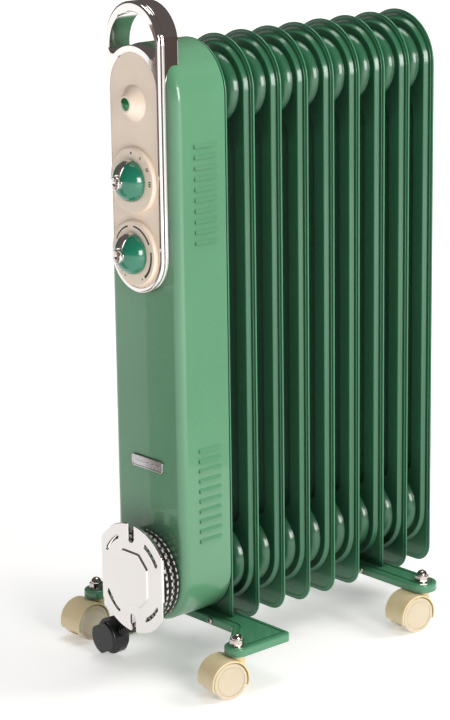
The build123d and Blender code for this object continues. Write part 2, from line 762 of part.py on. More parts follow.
def winder_plate():
    """Chrome front plate with two cord notches, four curved slots and a raised middle."""
    disc = Circle(winder_plate_r) & Rectangle(2 * winder_plate_half_width, 2 * winder_plate_r)
    disc = fillet(disc.vertices(), winder_corner_r)
    notch_width, notch_depth = winder_notch
    notch_length = notch_depth + notch_width
    for side in (-1, 1):
        notch_z = side * (winder_plate_r - notch_depth + notch_length / 2)
        disc -= Pos(0, notch_z) * SlotOverall(notch_length, notch_width, rotation=90)
    slot_r, slot_width, half_span, direction = winder_slot
    for middle in (direction, 180 - direction, 180 + direction, 360 - direction):
        arc = CenterArc((0, 0), slot_r, middle - half_span, 2 * half_span)
        disc -= SlotArc(arc, slot_width)
    plate = slab(Pos(0, winder_z) * disc, winder_back_y, winder_plate_sheet)
    plate = fillet(front_rim(plate), 0.9)
    width, height, corner, rise = winder_step
    raised = chamfer(Rectangle(width, height).vertices(), corner)
    raised = fillet(raised.vertices(), corner / 2)
    front_y = winder_back_y - winder_plate_sheet
    step = slab(Pos(0, winder_z) * raised, front_y, rise, 35.0)
    plate += fillet(front_rim(step), 0.6)
    hollow = Pos(0, winder_z) * offset(raised, -2.0)
    plate -= slab(hollow, winder_back_y + 1, 1 + rise)
    return [plate]


# ---------------------------------------------------------------- cord and plug
def cord_coil():
    """Outer form of the winding."""
    ring = Circle(coil_outer_r) - Circle(coil_inner_r)
    return [slab(Pos(0, winder_z) * ring, coil_back_y, coil_back_y - coil_front_y)]


def route_radii(points):
    """Largest tangent arc at each corner of a route."""
    radii = []
    for before, here, after in zip(points, points[1:], points[2:]):
        arriving = Vector(*here) - Vector(*before)
        leaving = Vector(*after) - Vector(*here)
        turn = math.radians(arriving.get_angle(leaving))
        shorter = min(arriving.length, leaving.length)
        radii.append(0.45 * shorter / math.tan(turn / 2))
    return radii


def cord_tail():
    """Free end of the cord, from the winding to the plug's strain relief."""
    radii = route_radii(tail_route)
    print("cord bend radii", [round(r, 1) for r in radii])
    path = FilletPolyline(*tail_route, radius=radii)
    section = Plane(origin=path @ 0, z_dir=path % 0) * Circle(cord_r)
    tube = sweep(section, path=path)
    print("cord tail", round(path.length, 1), "volume share",
          round(tube.volume / (math.pi * cord_r ** 2 * path.length), 4))
    free = (tube - cord_coil()[0]).solids()
    return [free.sort_by(Axis.X)[0]]


def relief_frame():
    """Start and direction of the strain relief, in line with the cord's end."""
    before, start = (Vector(*point) for point in tail_route[-2:])
    return start, (start - before).normalized()


def plug_centre():
    """Middle of the plug's disc."""
    start, along = relief_frame()
    return start + along * (relief_length + plug_r * 0.55)


def plug_body():
    """Angled plug: a round body with grip flats and a ribbed, tapered strain relief."""
    start, along = relief_frame()
    centre = plug_centre()
    back_y = centre.Y + plug_thickness / 2
    front_y = centre.Y - plug_thickness / 2
    disc = rod_y(centre.X, centre.Z, back_y - plug_edge_r, front_y, plug_r)
    disc = fillet(front_rim(disc), plug_edge_r)
    disc += rod_y(centre.X, centre.Z, back_y, back_y - plug_edge_r, plug_face_r)
    turn = math.degrees(math.atan2(along.Z, along.X))
    grip = Pos(centre.X, front_y, centre.Z) * Rot(0, -turn, 0)
    side = plug_r - plug_grip_cut
    for sign in (-1, 1):
        cutter = block((-plug_r, plug_r), (-1, plug_thickness * 0.45),
                       (side, plug_r + 1) if sign > 0 else (-plug_r - 1, -side))
        disc -= grip * cutter
        notch = Pos(centre.X, back_y, centre.Z) * Rot(0, -turn, 0)
        earth = block((-earth_width / 2, earth_width / 2), (-plug_thickness * 0.5, 1),
                      (plug_face_r - earth_depth, plug_r + 1) if sign > 0
                      else (-plug_r - 1, earth_depth - plug_face_r))
        disc -= notch * earth
    sleeve_plane = Plane(origin=start, z_dir=along)
    length = relief_length + plug_r * 0.5
    tip_r = cord_r + 1.0
    sleeve = sleeve_plane * Pos(0, 0, length / 2) * Cone(tip_r, relief_base_r, length)
    rib_pitch = relief_length / (relief_ribs + 1)
    for step in range(relief_ribs):
        place = sleeve_plane * Pos(0, 0, rib_pitch * (step + 0.9))
        radius = tip_r + (relief_base_r - tip_r) * rib_pitch * (step + 0.9) / length
        groove = Cylinder(radius + 1, rib_pitch * 0.4) - Cylinder(radius - relief_rib_depth, rib_pitch)
        sleeve -= place * groove
    return [disc + sleeve]


def plug_pins():
    """Two round contact pins."""
    centre = plug_centre()
    back_y = centre.Y + plug_thickness / 2
    pins = []
    for side in (-1, 1):
        pin = rod_y(centre.X + side * pin_half_spacing, centre.Z, back_y + pin_length, back_y, pin_r)
        pins.append(fillet(pin.faces().sort_by(Axis.Y)[-1].edges(), 1.4))
    return pins


# ---------------------------------------------------------------- feet
def stem_places():
    """Each caster's name, stem position and resting turn."""
    front_y = fin_1_y - front_arm_reach
    return {
        "front_right": (stem_half_spacing, front_y, front_right_turn),
        "front_left": (-stem_half_spacing, front_y, front_left_turn),
        "rear_right": (stem_half_spacing, rear_foot_y, rear_right_turn),
        "rear_left": (-stem_half_spacing, rear_foot_y, rear_left_turn),
    }


def front_foot_outline():
    """Bar under fin 1 with two arms that sweep forward to the stems."""
    half = foot_depth / 2
    outer_x = stem_half_spacing + front_arm_r
    inner_x = stem_half_spacing - front_arm_r
    shape = Rectangle(2 * outer_x, foot_depth)
    for side in (-1, 1):
        arm = Polyline((side * front_arm_start, -half), (side * inner_x, -front_arm_reach),
                       (side * outer_x, -front_arm_reach), (side * outer_x, 0),
                       (side * front_arm_start, 0), close=True)
        shape += make_face(arm)
        shape += Pos(side * stem_half_spacing, -front_arm_reach) * Circle(front_arm_r)
    back_corners = shape.vertices().sort_by(Axis.Y)[-2:]
    shape = fillet(back_corners, 7.0)
    inner = [v for v in shape.vertices()
             if abs(abs(v.X) - front_arm_start) < 0.1 and abs(v.Y + half) < 0.1]
    return fillet(inner, 10.0)


def rear_foot_outline():
    """Straight bar with round ends at the stems."""
    return SlotCenterToCenter(2 * stem_half_spacing, foot_depth)


def pressed_foot(outline, y, stem_y):
    """Pressed foot: skirted pan with a groove, a slot for the fin and its holes."""
    top = Pos(0, y, seat_z)
    pan = extrude(top * outline, -foot_skirt)
    pan = fillet(pan.faces().sort_by(Axis.Z)[-1].edges(), foot_edge_r)
    hollow = Pos(0, y, seat_z - foot_sheet) * offset(outline, -foot_sheet, kind=Kind.INTERSECTION)
    pan -= extrude(hollow, -foot_skirt)
    near, far = foot_groove
    groove = offset(outline, -near, kind=Kind.INTERSECTION)
    groove -= offset(outline, -far, kind=Kind.INTERSECTION)
    keep_out = [Pos(side * stem_half_spacing, stem_y - y) * Circle(nut_flange_r + 2)
                for side in (-1, 1)]
    pan -= extrude(top * (groove - keep_out), -foot_groove_depth)
    slot_half = outline_r + slot_clearance
    slot_wide = sheet + slot_clearance
    pan -= block((-slot_half, slot_half), (y - slot_wide, y + slot_wide),
                 (seat_z - foot_skirt, seat_z + 1))
    for side in (-1, 1):
        x = side * bolt_half_spacing
        pan -= rod_y(x, bolt_z(), y + foot_depth, y - foot_depth, bolt_hole_r)
        pan -= Pos(side * stem_half_spacing, stem_y, seat_z) * Cylinder(stud_hole_r, 4 * foot_sheet)
    return pan


def foot_front():
    """Front foot."""
    return [pressed_foot(front_foot_outline(), fin_1_y, fin_1_y - front_arm_reach)]


def foot_rear():
    """Rear foot."""
    return [pressed_foot(rear_foot_outline(), rear_foot_y, rear_foot_y)]


def foot_bolts():
    """Pan head bolts across each foot, through the fin's flange."""
    bolts = []
    for y in (fin_1_y, rear_foot_y):
        front_y = y - foot_depth / 2
        for side in (-1, 1):
            x = side * bolt_half_spacing
            shank = rod_y(x, bolt_z(), y + foot_depth / 2 + 5.0, front_y, bolt_r)
            head = rod_y(x, bolt_z(), front_y, front_y - bolt_head_height, bolt_head_r)
            head = fillet(front_rim(head), 1.0)
            cross = Box(4.2, 1.6, 0.9) + Box(0.9, 1.6, 4.2)
            head -= Pos(x, front_y - bolt_head_height, bolt_z()) * cross
            bolts.append(shank + head)
    return bolts


def foot_nuts():
    """Hexagon nuts on the cross bolts."""
    nuts = []
    for y in (fin_1_y, rear_foot_y):
        back_y = y + foot_depth / 2
        for side in (-1, 1):
            hexagon = RegularPolygon(3.5, 6, major_radius=False) - Circle(bolt_r)
            place = Pos(side * bolt_half_spacing, bolt_z())
            nuts.append(slab(place * hexagon, back_y + 3.2, 3.2))
    return nuts


# ---------------------------------------------------------------- casters
def caster_stems():
    """Stem, collar and stud of each caster."""
    stems = []
    for x, y, _ in stem_places().values():
        stem = Pos(x, y, (stem_low_z + hood_top_z + swivel_gap) / 2) \
            * Cylinder(stem_r, hood_top_z + swivel_gap - stem_low_z)
        collar_low = hood_top_z + swivel_gap
        collar_high = seat_z - foot_sheet
        stem += Pos(x, y, (collar_low + collar_high) / 2) * Cylinder(collar_r, collar_high - collar_low)
        stud_top = seat_z + nut_bore_height
        stem += Pos(x, y, (collar_high + stud_top) / 2) * Cylinder(stud_r, stud_top - collar_high)
        stems.append(stem)
    return stems


def caster_nuts():
    """Flanged acorn nuts that hold the stems to the feet."""
    nuts = []
    for x, y, _ in stem_places().values():
        flange = extrude(Circle(nut_flange_r), nut_flange_height)
        flange = fillet(flange.edges().sort_by(Axis.Z)[-1], 0.5)
        hexagon = RegularPolygon(nut_across_flats / 2, 6, major_radius=False)
        nut = flange + extrude(Pos(0, 0, nut_flange_height) * hexagon, nut_height)
        nut += Pos(0, 0, nut_flange_height + nut_height) * Sphere(nut_dome_r)
        nut -= Pos(0, 0, nut_bore_height / 2) * Cylinder(stud_r, nut_bore_height)
        nuts.append(Pos(x, y, seat_z) * nut)
    return nuts


def rod_x(x0, x1, y, z, radius):
    """Round bar along X."""
    return Pos((x0 + x1) / 2, y, z) * Rot(0, 90, 0) * Cylinder(radius, x1 - x0)


def caster_hood():
    """Twin-wheel hood with its stem axis at x = y = 0 and the floor at z = 0."""
    half = hood_web / 2 + wheel_gap + wheel_width + wheel_gap
    wheel_y = -caster_trail
    cover = rod_x(-half, half, wheel_y, wheel_r, hood_r)
    cover = fillet(cover.edges().filter_by(GeomType.CIRCLE), 0.9)
    boss_low = stem_low_z - 3.0
    boss = Pos(0, 0, (boss_low + hood_top_z) / 2) * Cylinder(hood_boss_r, hood_top_z - boss_low)
    hood = cover + boss
    for side in (-1, 1):
        inner, outer = sorted((side * hood_web / 2, side * (half + hood_boss_r)))
        hood -= rod_x(inner, outer, wheel_y, wheel_r, wheel_r + hood_gap)
    hood -= block((-half - 1, half + 1), (wheel_y - hood_r - 1, wheel_y + 2 * hood_r),
                  (-hood_r, hood_cut_height))
    hole_height = hood_top_z - stem_low_z + 0.5
    hole = Cylinder(stem_r + stem_clearance, 2 * hole_height)
    hood -= Pos(0, 0, hood_top_z) * hole
    return hood - rod_x(-half, half, wheel_y, wheel_r, axle_r)


def caster_wheel(side):
    """One wheel on the given side: rounded tread, ringed outer face and a cupped inside."""
    inner_x = hood_web / 2 + wheel_gap
    outer_x = inner_x + wheel_width
    centre = -caster_trail
    tyre = rod_x(inner_x, outer_x, centre, wheel_r, wheel_r)
    tyre = fillet(tyre.edges().filter_by(GeomType.CIRCLE), 1.4)
    tyre -= rod_x(outer_x - 0.7, outer_x + 1, centre, wheel_r, wheel_r - 3.4)
    tyre += rod_x(outer_x - 1.5, outer_x - 0.3, centre, wheel_r, wheel_r - 4.4)
    cup = rod_x(inner_x - 1, outer_x - 3.0, centre, wheel_r, wheel_r - 3.0)
    cup -= rod_x(inner_x - 2, outer_x, centre, wheel_r, axle_r + 2.5)
    tyre -= cup
    tyre -= rod_x(inner_x - 1, outer_x - wheel_skin, centre, wheel_r, axle_r + axle_clearance)
    return tyre if side > 0 else mirror(tyre, about=Plane.YZ)


def caster_nodes():
    """Hood, axle and two wheels of each caster, turned as it rests."""
    hood = caster_hood()
    axle_end = hood_web / 2 + wheel_gap + wheel_width - wheel_skin - wheel_gap
    axle = rod_x(-axle_end, axle_end, -caster_trail, wheel_r, axle_r)
    wheels = {"right": caster_wheel(1), "left": caster_wheel(-1)}
    made = {}
    for name, (x, y, turn) in stem_places().items():
        place = Pos(x, y, 0) * Rot(0, 0, turn)
        made[f"caster_hood_{name}"] = [place * hood]
        made[f"caster_axle_{name}"] = [place * axle]
        for side, wheel in wheels.items():
            made[f"wheel_{name}_{side}"] = [place * wheel]
    return made


# ---------------------------------------------------------------- all nodes
def all_nodes():
    """Every node's name with its solids."""
    nodes = fins()
    single = [heating_element, heater_flange, control_housing, mounting_plate, housing_screws,
              badge, handle_front, handle_rear, control_panel, indicator_lens, indicator_lamp,
              selector_switch, thermostat_body, thermal_cutout, terminal_block, wiring_harness,
              winder_drum, winder_plate, cord_gland, cord_coil, cord_tail, plug_body, plug_pins,
              foot_front, foot_rear, foot_bolts, foot_nuts, caster_stems, caster_nuts]
    for make in single:
        nodes[make.__name__] = make()
    for dial, z in (("power", power_z), ("thermostat", thermostat_z)):
        knob, pointer, shaft = knob_parts(z)
        nodes[f"{dial}_knob"] = knob
        nodes[f"{dial}_pointer"] = pointer
        nodes[f"{dial}_shaft"] = shaft
    nodes.update(caster_nodes())
    return nodes


os.makedirs("parts", exist_ok=True)
for node_name, shapes in all_nodes().items():
    solids = [solid for shape in shapes for solid in shape.solids()]
    whole = solids[0] if len(solids) == 1 else Compound(children=solids)
    whole.label = node_name
    export_step(whole, f"parts/{node_name}.step")
print("fin 1 at y", fin_1_y, "housing front", housing_front_y, "knob back", knob_back_y)
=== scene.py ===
"""Looks of an oil filled radiator heater: finishes, cord, printed dials and studio, round the CAD frame."""

import json
import logging
import math
from dataclasses import dataclass
from enum import Enum
from typing import Callable, Optional, Sequence

import bmesh
import bpy
from mathutils import Matrix, Vector


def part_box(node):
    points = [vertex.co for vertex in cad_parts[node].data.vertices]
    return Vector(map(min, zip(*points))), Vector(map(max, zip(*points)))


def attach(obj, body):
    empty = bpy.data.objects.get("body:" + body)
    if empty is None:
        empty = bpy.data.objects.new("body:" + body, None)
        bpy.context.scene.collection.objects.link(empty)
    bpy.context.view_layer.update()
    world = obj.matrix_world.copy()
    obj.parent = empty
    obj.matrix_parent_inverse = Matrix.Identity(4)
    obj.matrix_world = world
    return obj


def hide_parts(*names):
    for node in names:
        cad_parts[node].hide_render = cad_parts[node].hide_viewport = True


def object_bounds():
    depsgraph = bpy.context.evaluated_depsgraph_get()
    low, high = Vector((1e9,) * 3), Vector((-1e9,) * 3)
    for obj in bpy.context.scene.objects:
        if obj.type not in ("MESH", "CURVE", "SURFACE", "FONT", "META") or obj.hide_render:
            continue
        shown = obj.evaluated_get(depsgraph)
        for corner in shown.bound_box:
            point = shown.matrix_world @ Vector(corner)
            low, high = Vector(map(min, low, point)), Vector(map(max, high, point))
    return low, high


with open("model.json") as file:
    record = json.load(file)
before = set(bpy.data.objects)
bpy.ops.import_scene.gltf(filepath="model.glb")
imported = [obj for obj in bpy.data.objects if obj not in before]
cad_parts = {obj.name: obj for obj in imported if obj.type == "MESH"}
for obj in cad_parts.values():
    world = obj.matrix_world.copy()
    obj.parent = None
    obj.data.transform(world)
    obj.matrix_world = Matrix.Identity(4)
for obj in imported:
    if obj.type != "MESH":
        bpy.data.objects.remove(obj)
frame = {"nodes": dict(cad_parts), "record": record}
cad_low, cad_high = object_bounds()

log = logging.getLogger("heater")
Colour = tuple[float, float, float, float]
Triple = tuple[float, float, float]
Place = Triple
Pair = tuple[float, float]
MILLIMETRE = 0.001


# ------------------------------------------------------------------ colours
def srgb(red: int, green: int, blue: int) -> Colour:
    """Linear colour of an 8-bit screen colour.

    Args:
        red: Red, 0 to 255.
        green: Green, 0 to 255.
        blue: Blue, 0 to 255.

    Returns:
        The linear colour with full alpha.
    """
    channels = []
    for value in (red, green, blue):
        share = value / 255
        channels.append(share / 12.92 if share <= 0.04045 else ((share + 0.055) / 1.055) ** 2.4)
    return (channels[0], channels[1], channels[2], 1.0)


def scaled(colour: Colour, factor: float, lift: float = 0.0) -> Colour:
    """Colour made lighter or darker.

    Args:
        colour: The colour to start from.
        factor: What its light is multiplied by.
        lift: What is added to each channel after that.

    Returns:
        The new colour with full alpha.
    """
    red, green, blue = (channel * factor + lift for channel in colour[:3])
    return (red, green, blue, 1.0)


# ------------------------------------------------------------------ shader building
class Coordinates(Enum):
    """Where a pattern takes its place from."""

    OBJECT = "Object"
    SURFACE = "UV"


class ShaderGraph:
    """One material's nodes, with a principled shader at the end."""

    def __init__(self, name: str) -> None:
        """Starts a material.

        Args:
            name: The material's name.
        """
        self.material = bpy.data.materials.new(name)
        self.material.use_nodes = True
        self.tree = self.material.node_tree
        self.tree.nodes.clear()
        output = self.tree.nodes.new("ShaderNodeOutputMaterial")
        self.shader = self.tree.nodes.new("ShaderNodeBsdfPrincipled")
        self.tree.links.new(self.shader.outputs["BSDF"], output.inputs["Surface"])

    def add(self, kind: str, inputs: Optional[dict] = None, **settings: object) -> bpy.types.Node:
        """Adds a node.

        Args:
            kind: The node's type, without its ShaderNode prefix.
            inputs: Sockets by name or number, each a value or another node's output.
            settings: Attributes of the node.

        Returns:
            The new node.
        """
        node = self.tree.nodes.new("ShaderNode" + kind)
        for key, value in settings.items():
            setattr(node, key, value)
        for key, value in (inputs or {}).items():
            self.feed(node.inputs[key], value)
        return node

    def feed(self, socket: bpy.types.NodeSocket, value: object) -> None:
        """Sets a socket to a value, or links an output to it.

        Args:
            socket: The socket that is fed.
            value: A value, or the output of another node.
        """
        if isinstance(value, bpy.types.NodeSocket):
            self.tree.links.new(value, socket)
        else:
            socket.default_value = value

    def finish(self, **sockets: object) -> bpy.types.Material:
        """Feeds the principled shader.

        Args:
            sockets: Socket names in lower case with underscores, and their values or outputs.

        Returns:
            The finished material.
        """
        for key, value in sockets.items():
            name = key.replace("_", " ").title().replace("Ior", "IOR")
            self.feed(self.shader.inputs[name], value)
        return self.material

    def place(self, stretch: Triple = (1.0, 1.0, 1.0),
              source: Coordinates = Coordinates.OBJECT) -> bpy.types.NodeSocket:
        """Coordinates for a pattern.

        Args:
            stretch: How many times finer the pattern is along each axis.
            source: Places in metres, or the surface's own U and V.

        Returns:
            The stretched coordinates.
        """
        coordinates = self.add("TexCoord")
        mapping = self.add("Mapping", {"Vector": coordinates.outputs[source.value], "Scale": stretch})
        return mapping.outputs["Vector"]

    def noise(self, scale: float, detail: float = 3.0,
              stretch: Triple = (1.0, 1.0, 1.0)) -> bpy.types.NodeSocket:
        """Cloudy pattern from 0 to 1, with scale grains in a metre."""
        node = self.add("TexNoise", {"Vector": self.place(stretch), "Scale": scale, "Detail": detail})
        return node.outputs["Fac"]

    def grade(self, value: bpy.types.NodeSocket, low: float, high: float,
              start: float = 0.3, end: float = 0.7) -> bpy.types.NodeSocket:
        """Takes one range of values to another.

        Args:
            value: The value to take across.
            low: What start becomes.
            high: What end becomes.
            start: Where the old range begins; a cloudy pattern's by default.
            end: Where the old range ends.

        Returns:
            The new value, kept between low and high.
        """
        node = self.add("MapRange", {"Value": value, "From Min": start, "From Max": end,
                                     "To Min": low, "To Max": high})
        return node.outputs["Result"]

    def mix(self, share: bpy.types.NodeSocket, first: object, second: object) -> bpy.types.NodeSocket:
        """Colour between first and second."""
        node = self.add("Mix", {0: share, 6: first, 7: second}, data_type="RGBA")
        return node.outputs[2]

    def maths(self, operation: str, first: object, second: object = 0.0) -> bpy.types.NodeSocket:
        """Result of one arithmetic step."""
        return self.add("Math", {0: first, 1: second}, operation=operation).outputs[0]

    def dashes(self, value: bpy.types.NodeSocket, share: float) -> bpy.types.NodeSocket:
        """One in the first share of every whole step of a value, and zero in the rest."""
        return self.maths("LESS_THAN", self.maths("FRACT", value), share)

    def wave(self, operation: str, first: object, second: object) -> bpy.types.NodeSocket:
        """Sine of the sum or the difference of two numbers of turns."""
        return self.maths("SINE", self.maths("MULTIPLY", self.maths(operation, first, second), math.tau))

    def relief(self, height: bpy.types.NodeSocket, depth: float) -> bpy.types.NodeSocket:
        """Surface normal of a height pattern that is depth metres deep."""
        return self.add("Bump", {"Height": height, "Distance": depth, "Strength": 1.0}).outputs["Normal"]


# ------------------------------------------------------------------ finishes
@dataclass(frozen=True)
class Enamel:
    """Stoved gloss enamel over pressed steel, with a faint orange peel, and painted shade that darkens it
    in hollows and between close parts.
    """

    name: str
    colour: Colour
    # The deep colour is the paint's darker random tone, and also the base of its painted shade.
    deep: Colour
    roughness: float = 0.30
    coat: float = 0.5
    coat_roughness: float = 0.04
    # Painted shade: how much the deep colour is darkened, how far the occlusion looks, over which range of
    # openness, and with how many samples.
    hollow: float = 0.4
    hollow_reach: float = 40.0 * MILLIMETRE
    hollow_air: Pair = (0.32, 0.88)
    hollow_samples: int = 4
    cloud_scale: float = 7.0
    peel: float = 0.016 * MILLIMETRE
    peel_scale: float = 420.0
    speck_scale: float = 2600.0
    speck: Pair = (-0.03, 0.05)

    def material(self) -> bpy.types.Material:
        """Makes the enamel, with painted shade: in hollows it turns to a darkened copy of its deep colour.

        Returns:
            The material.
        """
        graph = ShaderGraph(self.name)
        tone = graph.grade(graph.noise(self.cloud_scale, detail=2.0), 0.0, 1.0)
        flow = graph.noise(self.peel_scale, detail=2.0)
        specks = graph.noise(self.speck_scale, detail=1.0)
        normal = graph.relief(flow, self.peel)
        # Painted shade: an occlusion node finds hollows and near surfaces, and the colour is darkened
        # there.
        occlusion = graph.add("AmbientOcclusion", {"Distance": self.hollow_reach},
                             samples=self.hollow_samples)
        paint = graph.mix(tone, self.colour, self.deep)
        painted_shade_mask = graph.grade(occlusion.outputs["AO"], 0.0, 1.0, *self.hollow_air)
        return graph.finish(
            base_color=graph.mix(painted_shade_mask, scaled(self.deep, self.hollow), paint),
            roughness=graph.grade(specks, *(self.roughness + change for change in self.speck)),
            coat_weight=self.coat, coat_roughness=self.coat_roughness, normal=normal)


@dataclass(frozen=True)
class Chrome:
    """Bright plating with faint polishing marks and handling haze."""

    name: str
    colour: Colour
    roughness: float = 0.05
    haze_scale: float = 30.0
    haze_tint: float = 0.93
    haze_roughness: Pair = (0.7, 1.8)
    mark_scale: float = 900.0
    mark_stretch: Triple = (1.0, 1.0, 0.08)
    mark_depth: float = 0.01 * MILLIMETRE

    def material(self) -> bpy.types.Material:
        """Makes the plating.

        Returns:
            The material.
        """
        graph = ShaderGraph(self.name)
        haze = graph.noise(self.haze_scale, detail=4.0)
        marks = graph.noise(self.mark_scale, detail=2.0, stretch=self.mark_stretch)
        return graph.finish(
            base_color=graph.mix(haze, self.colour, scaled(self.colour, self.haze_tint)), metallic=1.0,
            roughness=graph.grade(haze, *(self.roughness * times for times in self.haze_roughness)),
            normal=graph.relief(marks, self.mark_depth))


@dataclass(frozen=True)
class TurnedSteel:
    """Plain or plated steel and brass with fine machining streaks."""

    name: str
    colour: Colour
    roughness: float = 0.32
    stain_scale: float = 60.0
    stain_tint: float = 0.78
    streak_scale: float = 1500.0
    streak_stretch: Triple = (1.0, 0.05, 1.0)
    streak_depth: float = 0.012 * MILLIMETRE
    streak_roughness: Pair = (-0.08, 0.1)

    def material(self) -> bpy.types.Material:
        """Makes the metal.

        Returns:
            The material.
        """
        graph = ShaderGraph(self.name)
        streaks = graph.noise(self.streak_scale, detail=3.0, stretch=self.streak_stretch)
        stain = graph.noise(self.stain_scale, detail=3.0)
        return graph.finish(
            base_color=graph.mix(stain, self.colour, scaled(self.colour, self.stain_tint)), metallic=1.0,
            roughness=graph.grade(streaks, *(self.roughness + change for change in self.streak_roughness)),
            normal=graph.relief(streaks, self.streak_depth))


@dataclass(frozen=True)
class Moulding:
    """Moulded plastic with a fine grain and a little light let in under the skin."""

    name: str
    colour: Colour
    shade: Colour
    roughness: float = 0.3
    grain: float = 0.006 * MILLIMETRE
    grain_scale: float = 3000.0
    glow: float = 0.08
    coat: float = 0.2
    cloud_scale: float = 40.0
    grain_roughness: Pair = (-0.04, 0.06)
    glow_depth: float = 4.0 * MILLIMETRE
    glow_colour: Triple = (1.0, 0.6, 0.2)
    coat_roughness: float = 0.12

    def material(self) -> bpy.types.Material:
        """Makes the plastic.

        Returns:
            The material.
        """
        graph = ShaderGraph(self.name)
        clouds = graph.grade(graph.noise(self.cloud_scale, detail=3.0), 0.0, 1.0)
        grain = graph.noise(self.grain_scale, detail=2.0)
        return graph.finish(
            base_color=graph.mix(clouds, self.colour, self.shade),
            roughness=graph.grade(grain, *(self.roughness + change for change in self.grain_roughness)),
            subsurface_weight=self.glow, subsurface_scale=self.glow_depth,
            subsurface_radius=self.glow_colour, coat_weight=self.coat,
            coat_roughness=self.coat_roughness, normal=graph.relief(grain, self.grain))


@dataclass(frozen=True)
class Jewel:
    """Clear tinted lens with faceted relief, and a soft inner sparkle painted into its colour."""

    name: str
    colour: Colour
    facet_scale: float = 900.0
    facet_tint: float = 0.35
    facet_depth: float = 0.02 * MILLIMETRE
    roughness: float = 0.04
    ior: float = 1.5
    clearness: float = 0.35
    coat_roughness: float = 0.02

    def material(self) -> bpy.types.Material:
        """Makes the lens.

        Returns:
            The material.
        """
        graph = ShaderGraph(self.name)
        cells = graph.add("TexVoronoi", {"Vector": graph.place(), "Scale": self.facet_scale})
        facets = cells.outputs["Distance"]
        # Painted sparkle: the colour is darkened towards the middle of each facet.
        return graph.finish(
            base_color=graph.mix(facets, scaled(self.colour, self.facet_tint), self.colour),
            roughness=self.roughness, ior=self.ior, transmission_weight=self.clearness,
            coat_weight=1.0, coat_roughness=self.coat_roughness,
            normal=graph.relief(facets, self.facet_depth))


@dataclass(frozen=True)
class Ink:
    """Printed mark with a slightly uneven film."""

    name: str
    colour: Colour
    film_scale: float = 2000.0
    film_tint: float = 1.6
    film_lift: float = 0.004
    film_roughness: Pair = (0.4, 0.6)

    def material(self) -> bpy.types.Material:
        """Makes the print.

        Returns:
            The material.
        """
        graph = ShaderGraph(self.name)
        film = graph.noise(self.film_scale, detail=3.0)
        thin = scaled(self.colour, self.film_tint, self.film_lift)
        return graph.finish(base_color=graph.mix(film, self.colour, thin),
                            roughness=graph.grade(film, *self.film_roughness))


@dataclass(frozen=True)
class CheckedBraid:
    """Textile braid in two yarn colours, its checks placed along and round the cord, with painted shade
    between the yarns.
    """

    name: str
    dark: Colour
    light: Colour
    check_length: float = 6.6 * MILLIMETRE
    check_fill: float = 0.54
    checks_round: float = 3.0
    check_width: float = 0.56
    yarn: float = 0.9 * MILLIMETRE
    yarns_round: float = 8.0
    weave_depth: float = 0.22 * MILLIMETRE
    weave_shade: float = 0.72
    weave_floor: float = -0.4
    roughness: float = 0.85
    sheen: float = 0.25
    sheen_roughness: float = 0.4

    def checks(self, graph: ShaderGraph, along: bpy.types.NodeSocket,
               around: bpy.types.NodeSocket) -> bpy.types.NodeSocket:
        """Where the light yarn shows, every other column half a check on.

        Args:
            graph: The material under construction.
            along: Metres along the cord.
            around: Turns round the cord.

        Returns:
            One on a check and zero beside it.
        """
        rows = graph.maths("DIVIDE", along, self.check_length)
        columns = graph.maths("MULTIPLY", around, self.checks_round)
        odd = graph.maths("MODULO", graph.maths("FLOOR", columns), 2.0)
        shifted = graph.maths("ADD", rows, graph.maths("MULTIPLY", odd, 0.5))
        return graph.maths("MULTIPLY", graph.dashes(shifted, self.check_fill),
                           graph.dashes(columns, self.check_width))

    def weave(self, graph: ShaderGraph, along: bpy.types.NodeSocket,
              around: bpy.types.NodeSocket) -> bpy.types.NodeSocket:
        """Height of the yarns, which cross in two slanted sets.

        Args:
            graph: The material under construction.
            along: Metres along the cord.
            around: Turns round the cord.

        Returns:
            The height, 0 to 1.
        """
        turns = graph.maths("MULTIPLY", around, self.yarns_round)
        pitch = graph.maths("DIVIDE", along, self.yarn)
        left, right = graph.wave("ADD", pitch, turns), graph.wave("SUBTRACT", pitch, turns)
        return graph.grade(graph.maths("MAXIMUM", left, right), 0.0, 1.0, self.weave_floor, 1.0)

    def material(self) -> bpy.types.Material:
        """Makes the braid, for a surface whose U is metres along and V turns round.

        Returns:
            The material.
        """
        graph = ShaderGraph(self.name)
        parts = graph.add("SeparateXYZ", {0: graph.place(source=Coordinates.SURFACE)})
        along, around = parts.outputs[0], parts.outputs[1]
        check = self.checks(graph, along, around)
        weave = self.weave(graph, along, around)
        # Painted shade: the yarn colour is darkened where the weave is low, between the yarns.
        shade = graph.grade(weave, self.weave_shade, 1.0, 0.0, 1.0)
        yarns = graph.mix(check, self.dark, self.light)
        colour = graph.add("Mix", {0: 1.0, 6: yarns, 7: shade}, data_type="RGBA", blend_type="MULTIPLY")
        return graph.finish(
            base_color=colour.outputs[2], roughness=self.roughness, sheen_weight=self.sheen,
            sheen_roughness=self.sheen_roughness, normal=graph.relief(weave, self.weave_depth))


@dataclass(frozen=True)
class FloorSweep:
    """Matt white studio paper that glows with painted light, more strongly far out where it meets the
    backdrop.
    """

    name: str
    colour: Colour
    near_light: float
    far_light: float = 0.95
    near: float = 0.6
    far: float = 2.8
    fibre_scale: float = 900.0
    fibre_tint: float = 0.985
    fibre_depth: float = 0.01 * MILLIMETRE
    roughness: float = 0.75

    def material(self) -> bpy.types.Material:
        """Makes the paper, with its painted glow.

        Returns:
            The material.
        """
        graph = ShaderGraph(self.name)
        fibre = graph.noise(self.fibre_scale, detail=3.0)
        tone = graph.mix(fibre, self.colour, scaled(self.colour, self.fibre_tint))
        reach = graph.add("VectorMath", {0: graph.place()}, operation="LENGTH").outputs["Value"]
        # Painted glow: the paper emits its own colour, more strongly with distance from the middle.
        light = graph.grade(reach, self.near_light, self.far_light, self.near, self.far)
        return graph.finish(base_color=tone, roughness=self.roughness, emission_color=tone,
                            emission_strength=light, normal=graph.relief(fibre, self.fibre_depth))


